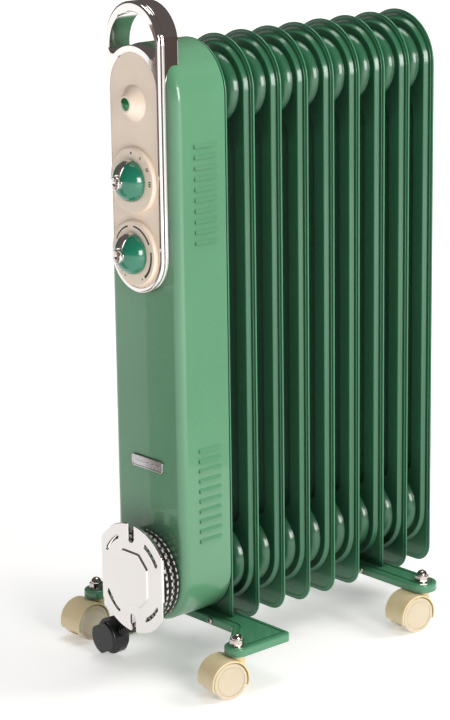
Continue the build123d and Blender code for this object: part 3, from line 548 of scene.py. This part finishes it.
@dataclass(frozen=True)
class CardCloth:
    """Matt dyed cloth over a studio card."""

    name: str
    colour: Colour
    weave_scale: float = 60.0
    weave_tint: float = 1.2
    roughness: float = 0.9

    def material(self) -> bpy.types.Material:
        """Makes the cloth.

        Returns:
            The material.
        """
        graph = ShaderGraph(self.name)
        weave = graph.noise(self.weave_scale, detail=2.0)
        pale = scaled(self.colour, self.weave_tint)
        return graph.finish(base_color=graph.mix(weave, self.colour, pale), roughness=self.roughness)


class Finish(Enum):
    """Finishes of the heater by the material slot that each dresses, then the print's and the studio's."""

    # The fin enamel is the housing's green made darker, as painted shade between the close-set fins.
    fin_paint = Enamel("fin enamel with painted shade", srgb(68, 136, 98), srgb(63, 129, 92), 0.24, coat=0.3, hollow=0.10)
    housing_paint = Enamel("housing enamel", srgb(92, 146, 110), srgb(88, 141, 106), 0.28)
    foot_paint = Enamel("foot enamel", srgb(78, 142, 105), srgb(73, 135, 99), 0.25, hollow=0.3)
    chrome = Chrome("bright chrome", srgb(243, 239, 237))
    badge_metal = Chrome("badge plating", srgb(214, 212, 214), 0.14)
    bright_steel = Chrome("polished nut plating", srgb(205, 196, 190), 0.09)
    steel = TurnedSteel("drawn steel", srgb(168, 168, 170))
    brass = TurnedSteel("turned brass", srgb(205, 170, 96), 0.28)
    pin_nickel = TurnedSteel("nickel contact pins", srgb(205, 202, 192), 0.22)
    panel_cream = Moulding("cream panel", srgb(240, 222, 204), srgb(235, 216, 197), 0.34, coat=0.35)
    caster_cream = Moulding("cream caster hood", srgb(230, 211, 172), srgb(226, 204, 162), 0.33, glow=0.45)
    wheel_cream = Moulding("cream wheel", srgb(214, 201, 177), srgb(210, 195, 168), 0.36, glow=0.45)
    knob_green = Moulding("green knob", srgb(24, 122, 94), srgb(20, 113, 87), 0.22,
                          grain=0.003 * MILLIMETRE, glow=0.05, coat=0.9)
    black_plastic = Moulding("black switchgear", srgb(38, 38, 40), srgb(30, 30, 32), 0.45, glow=0.0)
    wire_cover = Moulding("wire insulation", srgb(150, 60, 50), srgb(128, 48, 42), 0.4, glow=0.0)
    plug_rubber = Moulding("moulded plug rubber", srgb(17, 17, 20), srgb(13, 13, 16), 0.38,
                           grain=0.03 * MILLIMETRE, grain_scale=1800.0, glow=0.0, coat=0.15)
    jewel = Jewel("green jewel", srgb(20, 150, 84))
    lamp_glass = Jewel("lamp glass", srgb(240, 200, 150))
    cord_textile = CheckedBraid("checked textile braid", srgb(13, 12, 13), srgb(235, 231, 222))
    dial_ink = Ink("dial print", srgb(40, 34, 28))
    paper = FloorSweep("studio paper", srgb(246, 245, 244), 0.34)
    brown_card = CardCloth("brown card", srgb(92, 76, 72))

    def material(self) -> bpy.types.Material:
        """The finish's material, made once."""
        made = bpy.data.materials.get(self.value.name)
        return made if made else self.value.material()


# ------------------------------------------------------------------ object helpers
def stand(name: str, data: bpy.types.ID) -> bpy.types.Object:
    """Puts an object in the scene.

    Args:
        name: The object's name.
        data: Its mesh, curve, light or camera.

    Returns:
        The object.
    """
    thing = bpy.data.objects.new(name, data)
    bpy.context.scene.collection.objects.link(thing)
    return thing


def aim(thing: bpy.types.Object, place: Place, target: Place, facing: str) -> None:
    """Places an object and turns it to a target.

    Args:
        thing: The object.
        place: Where it goes.
        target: What it looks at.
        facing: Which of its own axes points at the target.
    """
    thing.location = place
    thing.rotation_mode = "QUATERNION"
    thing.rotation_quaternion = (Vector(target) - Vector(place)).to_track_quat(facing, "Y")


def new_piece(name: str, mesh: bpy.types.Mesh, finish: Finish, body: str = "root") -> bpy.types.Object:
    """Adds a mesh to the heater as a piece.

    Args:
        name: The piece's name.
        mesh: Its mesh, in place in the row frame.
        finish: Its finish.
        body: The CAD body it rides on.

    Returns:
        The piece.
    """
    piece = stand(name, mesh)
    mesh.materials.append(finish.material())
    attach(piece, body)
    log.info("built %s", name)
    return piece


def dress(nodes: Sequence[str]) -> None:
    """Gives CAD nodes the finish of their material slot.

    Args:
        nodes: The nodes' names.
    """
    slots = {part["node"]: part["material_slot"] for part in frame["record"]["subparts"]}
    for node in nodes:
        shown = frame["nodes"][node]
        material = Finish[slots[node]].material()
        if not shown.material_slots:
            shown.data.materials.append(material)
        for slot in shown.material_slots:
            slot.material = material
        log.info("dressed %s", node)


def middle(node: str) -> Vector:
    """Middle of a CAD node's box at rest."""
    low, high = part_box(node)
    return (low + high) / 2


# ------------------------------------------------------------------ mesh helpers
def mesh_of(name: str, work: bmesh.types.BMesh, solid: bool = True) -> bpy.types.Mesh:
    """Finishes a mesh.

    Args:
        name: The mesh's name.
        work: The mesh under construction, which is used up.
        solid: Whether it is closed, so that its faces are turned outward.

    Returns:
        The mesh.
    """
    if solid:
        bmesh.ops.recalc_face_normals(work, faces=work.faces)
    mesh = bpy.data.meshes.new(name)
    work.to_mesh(mesh)
    work.free()
    return mesh


def arc_points(centre: Pair, radius: float, start: float, end: float, steps: int) -> list[Pair]:
    """Points along an arc, its two ends included.

    Args:
        centre: The arc's centre.
        radius: Its radius.
        start: Where it starts, in degrees anticlockwise from the first axis.
        end: Where it ends, in the same degrees.
        steps: How many steps it is cut into.

    Returns:
        The points.
    """
    points = []
    for i in range(steps + 1):
        angle = math.radians(start + (end - start) * i / steps)
        points.append((centre[0] + radius * math.cos(angle), centre[1] + radius * math.sin(angle)))
    return points


def ring_points(centre: Pair, radius: float, count: int) -> list[Pair]:
    """Points evenly round a circle."""
    return arc_points(centre, radius, 0.0, 360.0 - 360.0 / count, count - 1)


@dataclass(frozen=True)
class Bead:
    """Round bead along a path of points."""

    path: Sequence[Vector]
    radius: float
    sides: int = 8
    closed: bool = True
    wobble: Optional[Callable[[int], float]] = None

    def tangents(self) -> list[Vector]:
        """Works out the path's direction.

        Returns:
            The direction at each point.
        """
        count = len(self.path)
        found = []
        for i in range(count):
            before = self.path[i - 1] if i or self.closed else self.path[0]
            after = self.path[(i + 1) % count] if i < count - 1 or self.closed else self.path[-1]
            found.append((after - before).normalized())
        return found

    def rings(self, work: bmesh.types.BMesh) -> list[list[bmesh.types.BMVert]]:
        """Adds a ring of corners round each point of the path.

        Args:
            work: The mesh under construction.

        Returns:
            The rings, each turned as little as can be from the one before.
        """
        tangents = self.tangents()
        normal = tangents[0].orthogonal().normalized()
        angles = [math.tau * k / self.sides for k in range(self.sides)]
        rings = []
        for i, (point, tangent) in enumerate(zip(self.path, tangents)):
            normal = (normal - tangent * normal.dot(tangent)).normalized()
            side = tangent.cross(normal)
            reach = self.radius + (self.wobble(i) if self.wobble else 0.0)
            rings.append([work.verts.new(point + (normal * math.cos(a) + side * math.sin(a)) * reach)
                          for a in angles])
        return rings

    def sweep(self, work: bmesh.types.BMesh) -> None:
        """Adds the bead's faces, with U in metres along it and V in turns round it.

        Args:
            work: The mesh under construction.
        """
        uv_layer = work.loops.layers.uv.verify()
        rings = self.rings(work)
        spans = len(rings) if self.closed else len(rings) - 1
        along = 0.0
        for i in range(spans):
            j = (i + 1) % len(rings)
            here, there = rings[i], rings[j]
            beyond = along + (self.path[j] - self.path[i]).length
            for k in range(self.sides):
                turn = (k + 1) % self.sides
                face = work.faces.new((here[k], here[turn], there[turn], there[k]))
                face.smooth = True
                corners = ((along, k), (along, k + 1), (beyond, k + 1), (beyond, k))
                for loop, (distance, side) in zip(face.loops, corners):
                    loop[uv_layer].uv = (distance, side / self.sides)
            along = beyond
        if not self.closed:
            work.faces.new(list(reversed(rings[0])))
            work.faces.new(rings[-1])


def bead_mesh(name: str, beads: Sequence[Bead]) -> bpy.types.Mesh:
    """Sweeps one or more beads into a mesh.

    Args:
        name: The mesh's name.
        beads: The beads.

    Returns:
        The mesh.
    """
    work = bmesh.new()
    for bead in beads:
        bead.sweep(work)
    return mesh_of(name, work)


def print_mesh(name: str, outlines: Sequence[Sequence[Pair]], y: float, film: float) -> bpy.types.Mesh:
    """Makes thin printed shapes on a face that looks towards -Y.

    Args:
        name: The mesh's name.
        outlines: Closed outlines of X and Z places.
        y: The face that they lie on.
        film: How far the print stands out of the face, and sinks into it.

    Returns:
        The mesh.
    """
    work = bmesh.new()
    for outline in outlines:
        front = [work.verts.new((x, y - film, z)) for x, z in outline]
        back = [work.verts.new((x, y + film, z)) for x, z in outline]
        work.faces.new(front)
        work.faces.new(list(reversed(back)))
        for i in range(len(outline)):
            j = (i + 1) % len(outline)
            work.faces.new((front[j], front[i], back[i], back[j]))
    return mesh_of(name, work)


# ------------------------------------------------------------------ fins
@dataclass
class FinStack:
    """The nine fins, the rolled seam round each and the weld between hubs."""

    names: tuple[str, ...] = tuple(f"fin_{number}" for number in range(1, 10))
    corner_radius: float = 20.0 * MILLIMETRE
    top_steps: int = 48
    corner_steps: int = 10
    seam_radius: float = 0.95 * MILLIMETRE
    ridge_radius: float = 0.8 * MILLIMETRE
    ridge_sides: int = 6
    ridge_inset: float = 3.0 * MILLIMETRE
    ridge_lift: float = 0.5 * MILLIMETRE
    neck_radius: float = 22.0 * MILLIMETRE
    weld_radius: float = 0.9 * MILLIMETRE
    weld_points: int = 60
    weld_ripple: float = 0.14 * MILLIMETRE
    ripple_step: float = 2.1

    def build(self) -> None:
        """Dresses the fins, and builds their seams and welds."""
        dress(self.names)
        for name in self.names:
            self.seam(name)
        self.welds()

    def outline(self, name: str, inset: float, lift: float) -> list[Vector]:
        """Closed line along a fin's rim: round top, flat foot with rounded corners.

        Args:
            name: The fin.
            inset: How far inside the rim the line runs.
            lift: How far in front of the fin's seam it runs.

        Returns:
            The line's points.
        """
        low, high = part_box(name)
        y = middle(name).y - lift
        half = (high.x - low.x) / 2
        corner = self.corner_radius
        bends = (((0.0, high.z - half), half, 0.0, 180.0, self.top_steps),
                 ((corner - half, low.z + corner), corner, 180.0, 270.0, self.corner_steps),
                 ((half - corner, low.z + corner), corner, 270.0, 360.0, self.corner_steps))
        flat = []
        for centre, radius, start, end, steps in bends:
            flat += arc_points(centre, radius - inset, start, end, steps)
        return [Vector((x, y, z)) for x, z in flat]

    def seam(self, name: str) -> None:
        """Builds one fin's rolled edge, and the welded ridge on each face of its rim.

        Args:
            name: The fin.
        """
        beads = [Bead(self.outline(name, 0.0, 0.0), self.seam_radius)]
        for side in (-1, 1):
            line = self.outline(name, self.ridge_inset, side * self.ridge_lift)
            beads.append(Bead(line, self.ridge_radius, self.ridge_sides))
        piece = new_piece(f"{name}_seam", bead_mesh(f"{name}_seam", beads), Finish.fin_paint)

    def welds(self) -> None:
        """Builds the beads where each hub's neck meets the next one's."""
        low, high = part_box(self.names[0])
        hub_heights = (middle("heater_flange").z, high.z - (high.x - low.x) / 2)
        for number, name in enumerate(self.names[1:], 2):
            joint_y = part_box(name)[0].y
            beads = []
            for hub_z in hub_heights:
                ring = ring_points((0.0, hub_z), self.neck_radius, self.weld_points)
                beads.append(Bead([Vector((x, joint_y, z)) for x, z in ring], self.weld_radius,
                                  wobble=lambda i: self.weld_ripple * math.sin(i * self.ripple_step)))
            weld = f"hub_weld_{number}"
            new_piece(weld, bead_mesh(weld, beads), Finish.fin_paint)


# ------------------------------------------------------------------ housing and handle
@dataclass
class ControlHousing:
    """Housing shell, badge, handle and what the housing holds."""

    shell: tuple[str, ...] = ("control_housing", "mounting_plate", "housing_screws", "badge",
                              "handle_front", "handle_rear")
    inside: tuple[str, ...] = ("selector_switch", "thermostat_body", "thermal_cutout",
                               "terminal_block", "wiring_harness", "heating_element",
                               "heater_flange", "indicator_lamp")

    def build(self) -> None:
        """Dresses the housing and its contents."""
        dress(self.shell)
        dress(self.inside)


# ------------------------------------------------------------------ control panel
@dataclass
class ControlPanel:
    """Cream panel with its lamp, two knobs and the print on their dials.

    Angles on a dial are in degrees, clockwise from the top.
    """

    pieces: tuple[str, ...] = ("control_panel", "indicator_lens", "power_knob", "power_pointer",
                               "power_shaft", "thermostat_knob", "thermostat_pointer",
                               "thermostat_shaft")
    knob_gap: float = 0.6 * MILLIMETRE
    print_radius: float = 27.2 * MILLIMETRE
    film: float = 0.08 * MILLIMETRE
    off_radius: float = 1.17 * MILLIMETRE
    off_corners: int = 24
    power_angles: tuple[float, ...] = (30.0, 60.0, 90.0)
    bar_width: float = 1.1 * MILLIMETRE
    bar_length: float = 3.4 * MILLIMETRE
    bar_spacing: float = 4.2
    heat_arcs: tuple[Pair, ...] = ((-140, -80), (-66, -16), (2, 63), (79, 141))
    heat_width: Pair = (0.7 * MILLIMETRE, 2.6 * MILLIMETRE)
    end_angle: float = 151.0
    end_radius: float = 0.9 * MILLIMETRE
    end_corners: int = 18
    band_step: float = 4.0
    fewest_steps: int = 4

    def build(self) -> None:
        """Dresses the panel and its controls, and prints both dials."""
        dress(self.pieces)
        self.power_print()
        self.heat_print()

    def dial(self, control: str) -> tuple[float, float]:
        """Front face of a control's dial, and the height of its centre."""
        knob_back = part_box(f"{control}_knob")[1].y
        return knob_back + self.knob_gap, middle(f"{control}_shaft").z

    def band(self, centre_z: float, start: float, end: float, widths: Pair) -> list[Pair]:
        """Outline of an arc band whose width changes along it.

        Args:
            centre_z: The dial's centre height.
            start: The angle where it starts.
            end: The angle where it ends.
            widths: Its width at either end.

        Returns:
            The outline.
        """
        steps = max(self.fewest_steps, int(abs(end - start) / self.band_step))
        outer, inner = [], []
        for i in range(steps + 1):
            share = i / steps
            angle = math.radians(90.0 - (start + (end - start) * share))
            half = (widths[0] + (widths[1] - widths[0]) * share) / 2
            for points, radius in ((outer, self.print_radius + half), (inner, self.print_radius - half)):
                points.append((radius * math.cos(angle), centre_z + radius * math.sin(angle)))
        return outer + inner[::-1]

    def dot(self, centre_z: float, angle: float, radius: float, corners: int) -> list[Pair]:
        """Outline of a dot on the circle of print.

        Args:
            centre_z: The dial's centre height.
            angle: Where the dot is.
            radius: Its radius.
            corners: How many corners its outline has.

        Returns:
            The outline.
        """
        turn = math.radians(90.0 - angle)
        centre = (self.print_radius * math.cos(turn), centre_z + self.print_radius * math.sin(turn))
        return ring_points(centre, radius, corners)

    def power_print(self) -> None:
        """Prints a dot at off, and one, two and three bars at the power settings."""
        y, z = self.dial("power")
        outlines = [self.dot(z, 0.0, self.off_radius, self.off_corners)]
        half = math.degrees(self.bar_width / 2 / self.print_radius)
        for count, angle in enumerate(self.power_angles, 1):
            for bar in range(count):
                at = angle + (bar - (count - 1) / 2) * self.bar_spacing
                outlines.append(self.band(z, at - half, at + half, (self.bar_length, self.bar_length)))
        new_piece("power_dial_print", print_mesh("power_dial_print", outlines, y, self.film),
                  Finish.dial_ink)

    def heat_print(self) -> None:
        """Prints arcs that thicken clockwise, between two end dots."""
        y, z = self.dial("thermostat")
        low, high = self.heat_width
        first, last = self.heat_arcs[0][0], self.heat_arcs[-1][1]
        outlines = []
        for arc in self.heat_arcs:
            widths = tuple(low + (high - low) * (angle - first) / (last - first) for angle in arc)
            outlines.append(self.band(z, *arc, widths))
        for angle in (-self.end_angle, self.end_angle):
            outlines.append(self.dot(z, angle, self.end_radius, self.end_corners))
        new_piece("thermostat_dial_print", print_mesh("thermostat_dial_print", outlines, y, self.film),
                  Finish.dial_ink)


# ------------------------------------------------------------------ cord and winder
def eased(share: float) -> float:
    """Share from 0 to 1 that starts and ends gently."""
    return share * share * (3 - 2 * share)


@dataclass
class CordWinder:
    """Winder, and the mains cord wound on it with its plug.

    Each whole turn has its strand, counted forwards from the housing, and its layer, counted outwards
    from the drum. The cord goes from one to the next where it passes cross_angle.
    """

    pieces: tuple[str, ...] = ("winder_drum", "winder_plate", "cord_gland", "plug_body", "plug_pins")
    cord_radius: float = 3.5 * MILLIMETRE
    strands: tuple[int, ...] = (2, 1, 0, 0, 1, 2)
    layers: tuple[int, ...] = (0, 0, 0, 1, 1, 1)
    points_per_turn: int = 20
    first_turn: float = 0.1
    last_turn: float = 5.6
    cross_angle: float = 180.0
    cross_width: float = 0.09
    tail_blend: float = 0.2
    tail: tuple[Place, ...] = (
        (0.0247, -0.184, 0.0658), (0.0034, -0.184, 0.0510), (-0.0140, -0.184, 0.0416))
    tube_sides: int = 18
    samples: int = 8

    def build(self) -> None:
        """Dresses the winder and plug, and winds the cord."""
        dress(self.pieces)
        self.cord()

    def winding_place(self, turns: float) -> Vector:
        """Control point of the cord's route on the winder.

        Args:
            turns: Turns wound since cross_angle, clockwise as seen from the front.

        Returns:
            The point, which stands a little outside the turn so that the curve keeps its radius.
        """
        low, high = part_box("cord_coil")
        whole = math.floor(turns + 0.5)
        crossing = eased(max(0.0, min(1.0, (turns - whole) / (2 * self.cross_width) + 0.5)))
        before = min(max(whole - 1, 0), len(self.strands) - 1)
        after = min(max(whole, 0), len(self.strands) - 1)
        strand = self.strands[before] + (self.strands[after] - self.strands[before]) * crossing
        layer = self.layers[before] + (self.layers[after] - self.layers[before]) * crossing
        y = high.y - self.cord_radius * (1 + 2 * strand)
        leaving = max(0.0, 1.0 - (self.last_turn - turns) / self.tail_blend)
        y += (self.tail[0][1] - y) * eased(leaving)
        radius = (high.x - low.x) / 2 - self.cord_radius * (3 - 2 * layer)
        radius /= math.cos(math.pi / self.points_per_turn)
        angle = math.radians(self.cross_angle - 360.0 * turns)
        return Vector((radius * math.cos(angle), y, middle("cord_coil").z + radius * math.sin(angle)))

    def route(self) -> list[Vector]:
        """Lays out the cord.

        Returns:
            Its control points, from the gland to the plug.
        """
        count = round((self.last_turn - self.first_turn) * self.points_per_turn)
        spacing = (self.last_turn - self.first_turn) / count
        winding = [self.winding_place(self.first_turn + i * spacing) for i in range(count + 1)]
        return winding + [Vector(point) for point in self.tail]

    def centreline(self, points: Sequence[Vector]) -> list[Vector]:
        """Draws one smooth line by control points.

        Args:
            points: The control points.

        Returns:
            Points along the line.
        """
        curve = bpy.data.curves.new("cord_route", "CURVE")
        curve.dimensions = "3D"
        spline = curve.splines.new("NURBS")
        spline.points.add(len(points) - 1)
        for slot, point in zip(spline.points, points):
            slot.co = (*point, 1.0)
        spline.order_u = 3
        spline.use_endpoint_u = True
        spline.resolution_u = self.samples
        holder = stand("cord_route", curve)
        bpy.context.view_layer.update()
        sampled = bpy.data.meshes.new_from_object(holder)
        line = [vertex.co.copy() for vertex in sampled.vertices]
        bpy.data.objects.remove(holder)
        bpy.data.meshes.remove(sampled)
        return line

    def cord(self) -> None:
        """Builds the checked textile cord, from the drum to the plug's strain relief."""
        line = self.centreline(self.route())
        mesh = bead_mesh("mains_cord", [Bead(line, self.cord_radius, self.tube_sides, closed=False)])
        piece = new_piece("mains_cord", mesh, Finish.cord_textile)
        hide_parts("cord_coil", "cord_tail")


# ------------------------------------------------------------------ feet and casters
@dataclass
class Undercarriage:
    """Pressed feet, their fasteners and the four casters."""

    feet: tuple[str, ...] = ("foot_front", "foot_rear", "foot_bolts", "foot_nuts", "caster_stems",
                             "caster_nuts")
    corners: tuple[str, ...] = ("front_right", "front_left", "rear_right", "rear_left")

    def build(self) -> None:
        """Dresses the feet and casters."""
        dress(self.feet)
        for corner in self.corners:
            dress((f"caster_hood_{corner}", f"caster_axle_{corner}",
                   f"wheel_{corner}_left", f"wheel_{corner}_right"))


# ------------------------------------------------------------------ studio
@dataclass(frozen=True)
class SoftBox:
    """One square studio light."""

    name: str
    place: Place
    size: float
    power: float
    colour: Triple = (1.0, 1.0, 1.0)
    mirrored: bool = True
    target: Place = (0.0, 0.0, 0.35)

    def build(self) -> None:
        """Hangs the light and turns it to its target."""
        light = bpy.data.lights.new(self.name, "AREA")
        light.shape = "RECTANGLE"
        light.size = light.size_y = self.size
        light.energy = self.power
        light.color = self.colour
        holder = stand(self.name, light)
        holder.visible_glossy = self.mirrored
        aim(holder, self.place, self.target, "-Z")


@dataclass(frozen=True)
class Flag:
    """Dark card seen only in reflections, which gives polished metal its edges."""

    name: str
    place: Place
    target: Place
    size: Pair
    finish: Finish = Finish.brown_card

    def build(self) -> None:
        """Stands the card up, facing its target."""
        work = bmesh.new()
        half_wide, half_high = self.size[0] / 2, self.size[1] / 2
        corners = ((-1, -1), (1, -1), (1, 1), (-1, 1))
        work.faces.new([work.verts.new((x * half_wide, z * half_high, 0)) for x, z in corners])
        card = stand(self.name, mesh_of(self.name, work, solid=False))
        card.data.materials.append(self.finish.material())
        aim(card, self.place, self.target, "Z")
        card.visible_camera = False
        card.visible_diffuse = False
        card.visible_shadow = False


@dataclass
class Studio:
    """Pale floor, soft lights, dark cards and the camera.

    The camera stands at eye, with its picture's right and up along those directions.
    """

    floor_reach: float = 14.0
    floor_cells: int = 8
    air: Colour = (0.30, 0.30, 0.30, 1.0)
    backdrop: Colour = (1.0, 1.0, 1.0, 1.0)
    dark_room: Colour = (0.11, 0.095, 0.09, 1.0)
    lens: float = 124.2
    sensor: float = 36.0
    far_clip: float = 60.0
    eye: Place = (1.8291, -1.6779, 0.9704)
    right: Triple = (0.6646, 0.7473, -0.0135)
    up: Triple = (-0.1882, 0.1849, 0.9646)
    soft_boxes: tuple[SoftBox, ...] = (
        SoftBox("side softbox", (2.3, -0.45, 0.95), 0.9, 34.0, (1.0, 0.99, 0.97)),
        SoftBox("back softbox", (1.3, 2.3, 2.3), 1.3, 46.0, (1.0, 0.985, 0.96), mirrored=False),
        SoftBox("top light", (-0.2, 0.5, 3.0), 1.4, 30.0))
    flags: tuple[Flag, ...] = (
        Flag("side flag", (0.60, 0.36, 0.40), (0.04, -0.14, 0.56), (0.62, 0.80)),
        Flag("high front flag", (-0.117, -0.345, 0.49), (0.08, -0.17, 0.49), (0.075, 0.28)),
        Flag("low front flag", (-0.150, -0.345, 0.215), (0.05, -0.17, 0.215), (0.08, 0.25)))

    def build(self) -> None:
        """Lays the floor, sets the lights and cards, and stands the camera."""
        self.floor()
        self.world()
        self.camera()
        for fitting in self.soft_boxes + self.flags:
            fitting.build()
        bpy.context.scene.view_settings.view_transform = "Standard"

    def floor(self) -> None:
        """Lays a wide sheet of white paper."""
        work = bmesh.new()
        bmesh.ops.create_grid(work, x_segments=self.floor_cells, y_segments=self.floor_cells,
                              size=self.floor_reach)
        sheet = stand("studio_floor", mesh_of("studio_floor", work, solid=False))
        sheet.data.materials.append(Finish.paper.material())
        sheet.location.z = cad_low.z

    def world(self) -> None:
        """Sets a white backdrop to the eye, soft grey air for light, and a dark room in reflections."""
        world = bpy.data.worlds.new("studio air")
        world.use_nodes = True
        nodes, links = world.node_tree.nodes, world.node_tree.links
        rays = nodes.new("ShaderNodeLightPath")
        in_reflections = nodes.new("ShaderNodeMix")
        to_the_eye = nodes.new("ShaderNodeMix")
        for choice, output, colour in ((in_reflections, "Is Glossy Ray", self.dark_room),
                                       (to_the_eye, "Is Camera Ray", self.backdrop)):
            choice.data_type = "RGBA"
            choice.inputs[7].default_value = colour
            links.new(rays.outputs[output], choice.inputs[0])
        in_reflections.inputs[6].default_value = self.air
        links.new(in_reflections.outputs[2], to_the_eye.inputs[6])
        links.new(to_the_eye.outputs[2], nodes["Background"].inputs["Color"])
        bpy.context.scene.world = world

    def camera(self) -> None:
        """Stands a long lens at the height and turn of a product picture."""
        lens = bpy.data.cameras.new("studio_camera")
        lens.lens = self.lens
        lens.sensor_width = self.sensor
        lens.clip_end = self.far_clip
        holder = stand("studio_camera", lens)
        right, up = Vector(self.right).normalized(), Vector(self.up).normalized()
        turn = Matrix((right, up, right.cross(up))).transposed().to_4x4()
        holder.matrix_world = Matrix.Translation(self.eye) @ turn
        bpy.context.scene.camera = holder


def main() -> None:
    """Builds every sub-assembly in order."""
    logging.basicConfig(level=logging.INFO, format="%(name)s: %(message)s")
    for assembly in (Studio(), CordWinder(), FinStack(), ControlHousing(), ControlPanel(),
                     Undercarriage()):
        assembly.build()
        log.info("finished %s", type(assembly).__name__)


if __name__ == "__main__":
    main()
